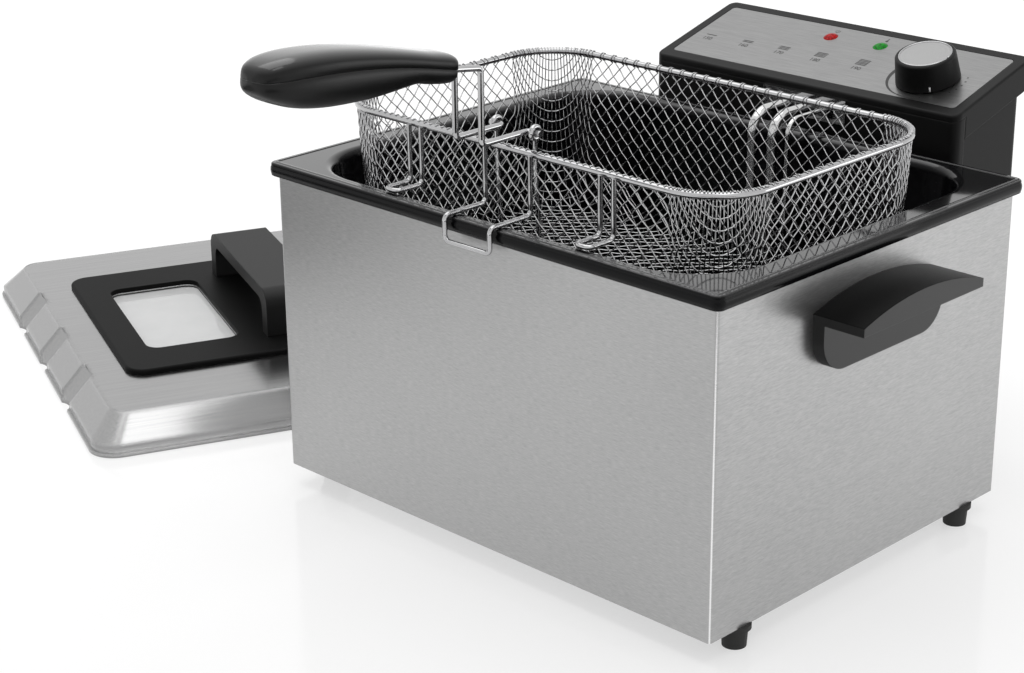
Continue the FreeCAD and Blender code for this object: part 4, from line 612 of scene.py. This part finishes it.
def weave_wire(form, number, first, second, lift):
    """One wire of the weave: over and under its neighbours, with both ends bent over the rim."""
    offset = first * (number * WEAVE_PITCH)
    step = WEAVE_PITCH / WEAVE_STEPS
    count = int(form.reach / step)
    steps = [index * step for index in range(-count, count + 1)]
    inside = [along for along in steps if form.climb(offset + second * along) < form.height - step / 2]
    if len(inside) < 2:
        return []
    points = []
    for along in inside:
        flat = offset + second * along
        crimp = lift * WEAVE_CRIMP * math.cos(math.pi * (along / WEAVE_PITCH + number))
        points.append(form.point(flat) + form.normal(flat) * crimp)
    start = form.wrap(offset + second * inside[0], -lift)
    end = form.wrap(offset + second * inside[-1], lift)
    return list(reversed(start)) + points + end


def make_basket_weave(material):
    """The woven wire basket, which stands for the plain mesh sheets."""
    form = BasketForm()
    diagonal = math.sqrt(0.5)
    first = Vector((diagonal, diagonal))
    second = Vector((-diagonal, diagonal))
    count = int(form.reach / WEAVE_PITCH)

    def build(sheet):
        for number in range(-count, count + 1):
            for across, along, lift in ((first, second, 1), (second, first, -1)):
                points = weave_wire(form, number, across, along, lift)
                if points:
                    add_tube(sheet, points, WEAVE_WIRE / 2, WEAVE_SIDES)

    piece = new_piece("basket_weave", mesh_from("basket_weave", build), "basket", material)
    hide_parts("basket_front_mesh", "basket_rear_mesh", "basket_left_mesh", "basket_right_mesh",
                "basket_corner_mesh", "basket_floor_mesh")


def roll_outline():
    """The rolled edge cut across, as insets and heights: over its crest, down its side and back inside."""
    waist = -ROLL_DEPTH / 2
    turns = [math.pi / 2 * step / ROLL_STEPS for step in range(ROLL_STEPS + 1)]
    outline = [(ROLL_LAP, -ROLL_RISE)]
    for turn in turns:
        inset = ROLL_CREST - (ROLL_CREST + ROLL_PROUD) * math.sin(turn)
        outline.append((inset, waist + (ROLL_RISE - waist) * math.cos(turn)))
    for turn in turns[1:]:
        inset = ROLL_FOOT - (ROLL_FOOT + ROLL_PROUD) * math.cos(turn)
        outline.append((inset, waist - (ROLL_DEPTH + waist) * math.sin(turn)))
    outline += [(ROLL_FOOT, waist), (ROLL_CREST, -ROLL_FOOT)]
    return outline


def rim_places(middle, core, inset):
    """Places round the rim, a given way inside its outer edge, with rounded corners."""
    places = []
    for quarter, (side_x, side_y) in enumerate(CORNER_SIDES):
        for step in range(ROLL_STEPS + 1):
            turn = math.pi / 2 * (quarter + step / ROLL_STEPS)
            across = middle.x + side_x * core.x + (RIM_CORNER - inset) * math.cos(turn)
            along = middle.y + side_y * core.y + (RIM_CORNER - inset) * math.sin(turn)
            places.append((across, along))
    return places


def make_rim_roll(material):
    """The rounded, rolled edge of the pot's enamelled rim."""
    low, high = (Vector(corner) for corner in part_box("inner_pot"))
    middle = (low + high) / 2
    core = (high - low) / 2 - Vector((RIM_CORNER, RIM_CORNER, 0))

    def build(sheet):
        lines = []
        for inset, height in roll_outline():
            places = rim_places(middle, core, inset)
            lines.append([sheet.verts.new((across, along, high.z + height)) for across, along in places])
        join_rings(sheet, lines + lines[:1])
        bmesh.ops.recalc_face_normals(sheet, faces=sheet.faces)

    new_piece("rim_roll", mesh_from("rim_roll", build), "pot", material)


def grip_station(share):
    """The grip's top, bottom and half width at a share of its length, smooth through its stations."""
    last = len(GRIP_STATIONS) - 1
    index = next(number for number in range(last) if share <= GRIP_STATIONS[number + 1][0])
    numbers = [max(0, min(last, number)) for number in range(index - 1, index + 3)]
    before, start, end, after = (GRIP_STATIONS[number] for number in numbers)
    span = end[0] - start[0]
    part = (share - start[0]) / span
    form = []
    for earlier, low, high, later in zip(before[1:], start[1:], end[1:], after[1:]):
        slope_in = (high - earlier) / (end[0] - before[0]) * span
        slope_out = (later - low) / (after[0] - start[0]) * span
        swing = (1 - part) * slope_in - part * slope_out + (2 * part - 1) * (high - low)
        form.append(low + (high - low) * part + part * (1 - part) * swing)
    return form


def grip_edge(share, angle, upper):
    """A point round one half of the grip, across and above the seam, from its right edge to its left."""
    top, bottom, half_width = grip_station(share)
    seam = GRIP_SEAM_RISE * math.sin(math.pi * share) - GRIP_SEAM_DROOP * share ** GRIP_DROOP_POWER
    depth = top - seam if upper else bottom - seam
    across = half_width * math.copysign(abs(math.cos(angle)) ** GRIP_ROUNDING, math.cos(angle))
    return across, seam + depth * math.sin(angle) ** GRIP_ROUNDING


def grip_ring(share, upper):
    """One half of the grip cut across, from right to left, drawn in at the seam to leave its groove."""
    angles = [math.pi * step / GRIP_STEPS for step in range(GRIP_STEPS + 1)]
    places = [grip_edge(share, angle, upper) for angle in angles]
    lean = SEAM_GROOVE if upper else -SEAM_GROOVE
    ring = [(places[0][0] - SEAM_GROOVE, places[0][1])]
    for angle, (across, height) in zip(angles, places):
        ring.append((across, height + lean * (1 - math.sin(angle))))
    ring.append((places[-1][0] + SEAM_GROOVE, places[-1][1]))
    return ring


def make_grip_half(name, node, upper, material):
    """One moulded half of the grip, with a fine groove along its seam."""
    along = Vector((0, -math.cos(GRIP_TILT), math.sin(GRIP_TILT)))
    normal = Vector((0, math.sin(GRIP_TILT), math.cos(GRIP_TILT)))
    root = Vector(joint_named("handle_fold")["pos_m"]) + GRIP_ARM + along * GRIP_START

    def build(sheet):
        rings = []
        for number in range(GRIP_RINGS + 1):
            share = (1 - math.cos(math.pi * number / GRIP_RINGS)) / 2
            middle = root + along * (share * GRIP_LENGTH)
            ring = []
            for across, height in grip_ring(share, upper):
                ring.append(sheet.verts.new(middle + Vector((across, 0, 0)) + normal * height))
            rings.append(ring)
        join_rings(sheet, rings, flat_close=True)
        sheet.faces.new(rings[0])
        sheet.faces.new(rings[-1])
        bmesh.ops.recalc_face_normals(sheet, faces=sheet.faces)

    piece = new_piece(name, mesh_from(name, build), "basket_handle", material)
    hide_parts(node)


class Panel:
    """The sloping control panel, with its own flat coordinates centred on the knob's axis."""

    def __init__(self):
        joint = joint_named("knob_turn")
        self.normal = Vector(joint["axis"]).normalized()
        self.origin = Vector(joint["pos_m"])
        self.right = Vector((1, 0, 0))
        self.up = self.normal.cross(self.right)

    def at(self, across, upward, lift=PRINT_LIFT):
        """The point at a place across and up the panel, lifted off it."""
        return self.origin + self.right * across + self.up * upward + self.normal * lift

    def over(self, node):
        """The place on the panel, across and up, of the middle of a node."""
        low, high = (Vector(corner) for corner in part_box(node))
        offset = (low + high) / 2 - self.origin
        return Vector((offset.dot(self.right), offset.dot(self.up)))

    def matrix(self, across, upward):
        """What lays a flat thing on the panel, at a place across and up."""
        turn = Matrix((self.right, self.up, self.normal)).transposed().to_4x4()
        return Matrix.Translation(self.at(across, upward)) @ turn


def add_patch(sheet, corners):
    """One flat printed face between its corners."""
    sheet.faces.new([sheet.verts.new(corner) for corner in corners])


def add_bar(sheet, panel, left, right, low, high):
    """A flat printed bar between two places across and two places up the panel."""
    corners = ((left, low), (right, low), (right, high), (left, high))
    add_patch(sheet, [panel.at(across, upward) for across, upward in corners])


def add_disc(sheet, panel, across, upward, radius):
    """A printed disc round a place on the panel."""
    corners = []
    for step in range(DISC_SIDES):
        angle = math.tau * step / DISC_SIDES
        corners.append(panel.at(across + radius * math.cos(angle), upward + radius * math.sin(angle)))
    add_patch(sheet, corners)


def add_arc(sheet, panel, across, upward, radius, start, end, width):
    """A printed arc whose line is as wide as a function of its share says."""
    rings = []
    for step in range(ARC_STEPS + 1):
        share = step / ARC_STEPS
        angle = start + (end - start) * share
        edges = []
        for reach in (radius, radius + width(share)):
            spot = panel.at(across + reach * math.cos(angle), upward + reach * math.sin(angle))
            edges.append(sheet.verts.new(spot))
        rings.append(edges)
    for before, after in zip(rings, rings[1:]):
        sheet.faces.new((before[0], before[1], after[1], after[0]))


def make_dial_print(panel, ink):
    """A tapering arc round the front of the knob, and dots to its right."""

    def taper(share):
        return DIAL_WIDE * (1 - share) ** DIAL_TAPER + DIAL_FINE

    def build(sheet):
        add_arc(sheet, panel, 0, 0, DIAL_RADIUS, DIAL_START, DIAL_END, taper)
        for angle in DOT_ANGLES:
            across = DIAL_RADIUS * math.cos(angle)
            upward = DIAL_RADIUS * math.sin(angle)
            add_disc(sheet, panel, across, upward, DOT_RADIUS)

    new_piece("dial_print", mesh_from("dial_print", build), "control_unit", ink)


def make_lamp_marks(panel, ink):
    """Plain signs behind the lamps: a ring with a bar for power, a bar on a disc for heat."""
    power = panel.over("power_lamp_lens")
    heat = panel.over("ready_lamp_lens")
    line = LAMP_MARK_LINE
    start = math.pi / 2 + LAMP_MARK_GAP
    end = math.tau + math.pi / 2 - LAMP_MARK_GAP

    def build(sheet):
        across = power.x
        upward = power.y + LAMP_MARK_RISE
        add_arc(sheet, panel, across, upward, LAMP_MARK_RADIUS, start, end, lambda share: line)
        top = upward + LAMP_MARK_RADIUS + line
        add_bar(sheet, panel, across - line / 2, across + line / 2, upward, top)
        across = heat.x
        upward = heat.y + LAMP_MARK_RISE
        add_disc(sheet, panel, across, upward - LAMP_MARK_RADIUS / 2, LAMP_DISC_RADIUS)
        add_bar(sheet, panel, across - line, across + line, upward, upward + 2 * LAMP_MARK_RADIUS)

    new_piece("lamp_marks", mesh_from("lamp_marks", build), "control_unit", ink)


def make_number(panel, text, across, ink):
    """A plain temperature number printed on the panel."""
    words = bpy.data.curves.new("number_" + text, "FONT")
    words.body = text
    words.size = NUMBER_HEIGHT
    words.align_x = "CENTER"
    draft = bpy.data.objects.new("draft", words)
    mesh = bpy.data.meshes.new_from_object(draft)
    bpy.data.objects.remove(draft)
    mesh.name = "number_" + text
    mesh.transform(panel.matrix(across, NUMBER_SLOPE))
    mesh.materials.clear()
    new_piece("number_" + text, mesh, "control_unit", ink)


def make_heat_marks(panel, ink):
    """Above each number, as many short bars as its place in the row."""

    def build(sheet):
        for index, across in enumerate(NUMBER_PLACES):
            for bar in range(index + 1):
                low = NUMBER_SLOPE + HEAT_LIFT + bar * HEAT_GAP
                add_bar(sheet, panel, across - HEAT_BAR, across + HEAT_BAR, low, low + HEAT_GAP / 2)

    new_piece("heat_marks", mesh_from("heat_marks", build), "control_unit", ink)


def make_knob_trim(panel, chrome, paint):
    """The bright edge round the knob's disc and the pale pip at the foot of its skirt."""
    low, high = (Vector(corner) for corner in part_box("knob_cap"))
    radius = (high.x - low.x) / 2
    vertices = frame["nodes"]["knob_cap"].data.vertices
    top = max((vertex.co - panel.origin).dot(panel.normal) for vertex in vertices)
    skirt = (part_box("knob_body")[1][0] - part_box("knob_body")[0][0]) / 2

    def build_ring(sheet):
        points = []
        for step in range(ARC_STEPS + 1):
            angle = math.tau * step / ARC_STEPS
            points.append(panel.at(radius * math.cos(angle), radius * math.sin(angle), top))
        add_tube(sheet, points, TRIM_WIRE, TRIM_SIDES)

    def build_pip(sheet):
        across = skirt * math.cos(PIP_ANGLE)
        upward = skirt * math.sin(PIP_ANGLE)
        points = [panel.at(across, upward, PIP_LOW), panel.at(across, upward, PIP_HIGH)]
        add_tube(sheet, points, PIP_RADIUS, PIP_SIDES)

    new_piece("knob_edge", mesh_from("knob_edge", build_ring), "knob", chrome)
    new_piece("knob_pip", mesh_from("knob_pip", build_pip), "knob", paint)


def dress_nodes(finishes):
    """Give every CAD node the finish of its material slot, or one of its own."""
    slots = {entry["node"]: entry["material_slot"] for entry in frame["record"]["subparts"]}
    for name, node in frame["nodes"].items():
        finish = finishes.get(name) or finishes[slots[name]]
        node.data.materials.clear()
        node.data.materials.append(finish)


def stand_centre():
    """The middle of the floor between the four feet."""
    low, high = (Vector(corner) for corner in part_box("feet"))
    return Vector(((low.x + high.x) / 2, (low.y + high.y) / 2, 0))


def make_camera(stand):
    """The camera that the photograph was matched with, without shift or blur."""
    data = bpy.data.cameras.new("camera")
    data.lens = CAMERA_LENS
    data.sensor_width = SENSOR_WIDTH
    data.sensor_fit = "HORIZONTAL"
    camera = put_in_scene("camera", data)
    flat = math.cos(CAMERA_ELEVATION)
    across = math.sin(CAMERA_AZIMUTH) * flat
    along = -math.cos(CAMERA_AZIMUTH) * flat
    back = Vector((across, along, math.sin(CAMERA_ELEVATION)))
    level = Vector((0, 0, 1)).cross(back).normalized()
    upright = back.cross(level)
    right = level * math.cos(CAMERA_ROLL) + upright * math.sin(CAMERA_ROLL)
    turn = Matrix((right, back.cross(right), back)).transposed().to_4x4()
    camera.matrix_world = Matrix.Translation(stand + CAMERA_PLACE) @ turn
    bpy.context.scene.camera = camera


def flat_mesh(name, width, depth, material):
    """A level rectangle round its own middle, facing up."""
    mesh = bpy.data.meshes.new(name)
    corners = [(x * width / 2, y * depth / 2, 0) for x, y in CORNER_SIDES]
    mesh.from_pydata(corners, [], [range(len(corners))])
    mesh.materials.append(material)
    return mesh


def make_floor():
    """A pale floor that is white where it is seen, and keeps the fryer's shadow and faint reflection."""
    finish = Finish("pale_floor")
    finish.set(Base_Color=(FLOOR_TONE, FLOOR_TONE, FLOOR_TONE, 1))
    finish.set(Roughness=FLOOR_ROUGHNESS, Specular_IOR_Level=FLOOR_SHINE)
    glow = finish.blend(finish.seen(), low=(0, 0, 0), high=(1, 1, 1))
    finish.set(Emission_Color=glow, Emission_Strength=FLOOR_LIFT)
    floor = put_in_scene("floor", flat_mesh("floor", FLOOR_WIDTH, FLOOR_WIDTH, finish.material))


def make_world():
    """A white studio: pure white where it is seen, and softer as a light."""
    world = bpy.data.worlds.new("studio")
    world.use_nodes = True
    shading = Shading(world.node_tree)
    background = world.node_tree.nodes["Background"]
    shading.feed(background.inputs["Color"], (1, 1, 1, 1))
    shading.feed(background.inputs["Strength"], WORLD_LIGHT + shading.seen() * (1 - WORLD_LIGHT))
    bpy.context.scene.world = world


def make_softbox(name, place, target, size, power):
    """A rectangular lamp that points at a target and that the camera does not see."""
    data = bpy.data.lights.new(name, "AREA")
    data.shape = "RECTANGLE"
    data.size, data.size_y = size
    data.energy = power
    lamp = put_in_scene(name, data)
    lamp.location = place
    lamp.rotation_euler = (target - place).to_track_quat("-Z", "Y").to_euler()
    lamp.visible_camera = False


def make_dark_cards(stand):
    """Dark cards that lie on the floor in front of the fryer, out of sight and clear from below."""
    finish = Finish("dark_card")
    behind = finish.node("ShaderNodeNewGeometry", output="Backfacing")
    finish.set(Base_Color=(0, 0, 0, 1), Roughness=1.0, Specular_IOR_Level=0.0, Alpha=1 - behind)
    for place, (width, depth), turn in DARK_CARDS:
        card = put_in_scene("dark_card", flat_mesh("dark_card", width, depth, finish.material))
        card.location = stand + place
        card.rotation_euler.z = turn
        card.visible_camera = False
        card.visible_diffuse = False
        card.visible_shadow = False


def make_studio():
    """The camera, the floor, the lamps and the white room round the fryer."""
    stand = stand_centre()
    make_camera(stand)
    make_floor()
    make_world()
    for name, place, target, size, power in SOFTBOXES:
        make_softbox(name, stand + place, stand + target, size, power)
    make_dark_cards(stand)
    bpy.context.scene.view_settings.view_transform = "Standard"


def make_finishes(panel):
    """The finishes of the CAD nodes, each under its material slot or under the one node that wears it."""
    pot_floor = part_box("inner_pot")[0][2]
    # The carry handles' plastic has a painted sheen on its upright sides.
    side_plastic = make_black_plastic("side_plastic", tone=0.005, rough=0.28, shine=0.04, sides=0.8)
    lid_steel = make_brushed_steel("lid_steel", LID_GRAIN, LID_YAW, LID_TONES, rough=0.15, edge=LID_CREASE)
    return {
        "brushed_steel": make_case_steel(),
        "lid_shell": lid_steel,
        "panel_plate": make_brushed_steel("panel_steel", PANEL_GRAIN, 0.0, PANEL_TONES, rough=0.26),
        "zinc_plated_steel": make_zinc_steel(),
        "black_enamel": make_black_enamel(),
        "chromed_wire": make_chrome(),
        "knob_cap": make_spun_steel(panel.origin, panel.normal),
        "element_steel": make_element_steel(pot_floor),
        "black_plastic": make_black_plastic("black_plastic", tone=0.005, rough=0.33, shine=0.14),
        "lid_bezel": make_black_plastic("bezel_plastic", tone=0.005, rough=0.4, shine=0.06),
        "lid_handle": make_black_plastic("lid_plastic", tone=0.014, rough=0.4, shine=0.2),
        "left_carry_handle": side_plastic,
        "right_carry_handle": side_plastic,
        "component_plastic": make_component_plastic(),
        "red_lens": make_lens("red_lens", colour=(0.5, 0.004, 0.004), glow=0.12),
        "green_lens": make_lens("green_lens", colour=(0.004, 0.3, 0.015), glow=0.12),
        "red_button": make_red_button(),
        "black_rubber": make_rubber(),
        "window_glass": make_window_glass(),
    }


def make_fryer():
    """Dress the CAD nodes and add the pieces that are made here."""
    panel = Panel()
    finishes = make_finishes(panel)
    # The grip's plastic has a painted sheen on its crown.
    grip_plastic = make_black_plastic("grip_plastic", tone=0.005, rough=0.22, shine=0.24, crown_sheen=1.0)
    ink = make_print("dark_ink", tone=0.03)
    paint = make_print("pale_paint", tone=0.7)
    dress_nodes(finishes)
    make_rim_roll(finishes["black_enamel"])
    make_basket_weave(finishes["chromed_wire"])
    make_grip_half("grip_top", "grip_upper_half", True, grip_plastic)
    make_grip_half("grip_bottom", "grip_lower_half", False, grip_plastic)
    make_dial_print(panel, ink)
    make_lamp_marks(panel, ink)
    for text, across in zip(NUMBERS, NUMBER_PLACES):
        make_number(panel, text, across, ink)
    make_heat_marks(panel, ink)
    make_knob_trim(panel, finishes["chromed_wire"], paint)


make_fryer()
make_studio()
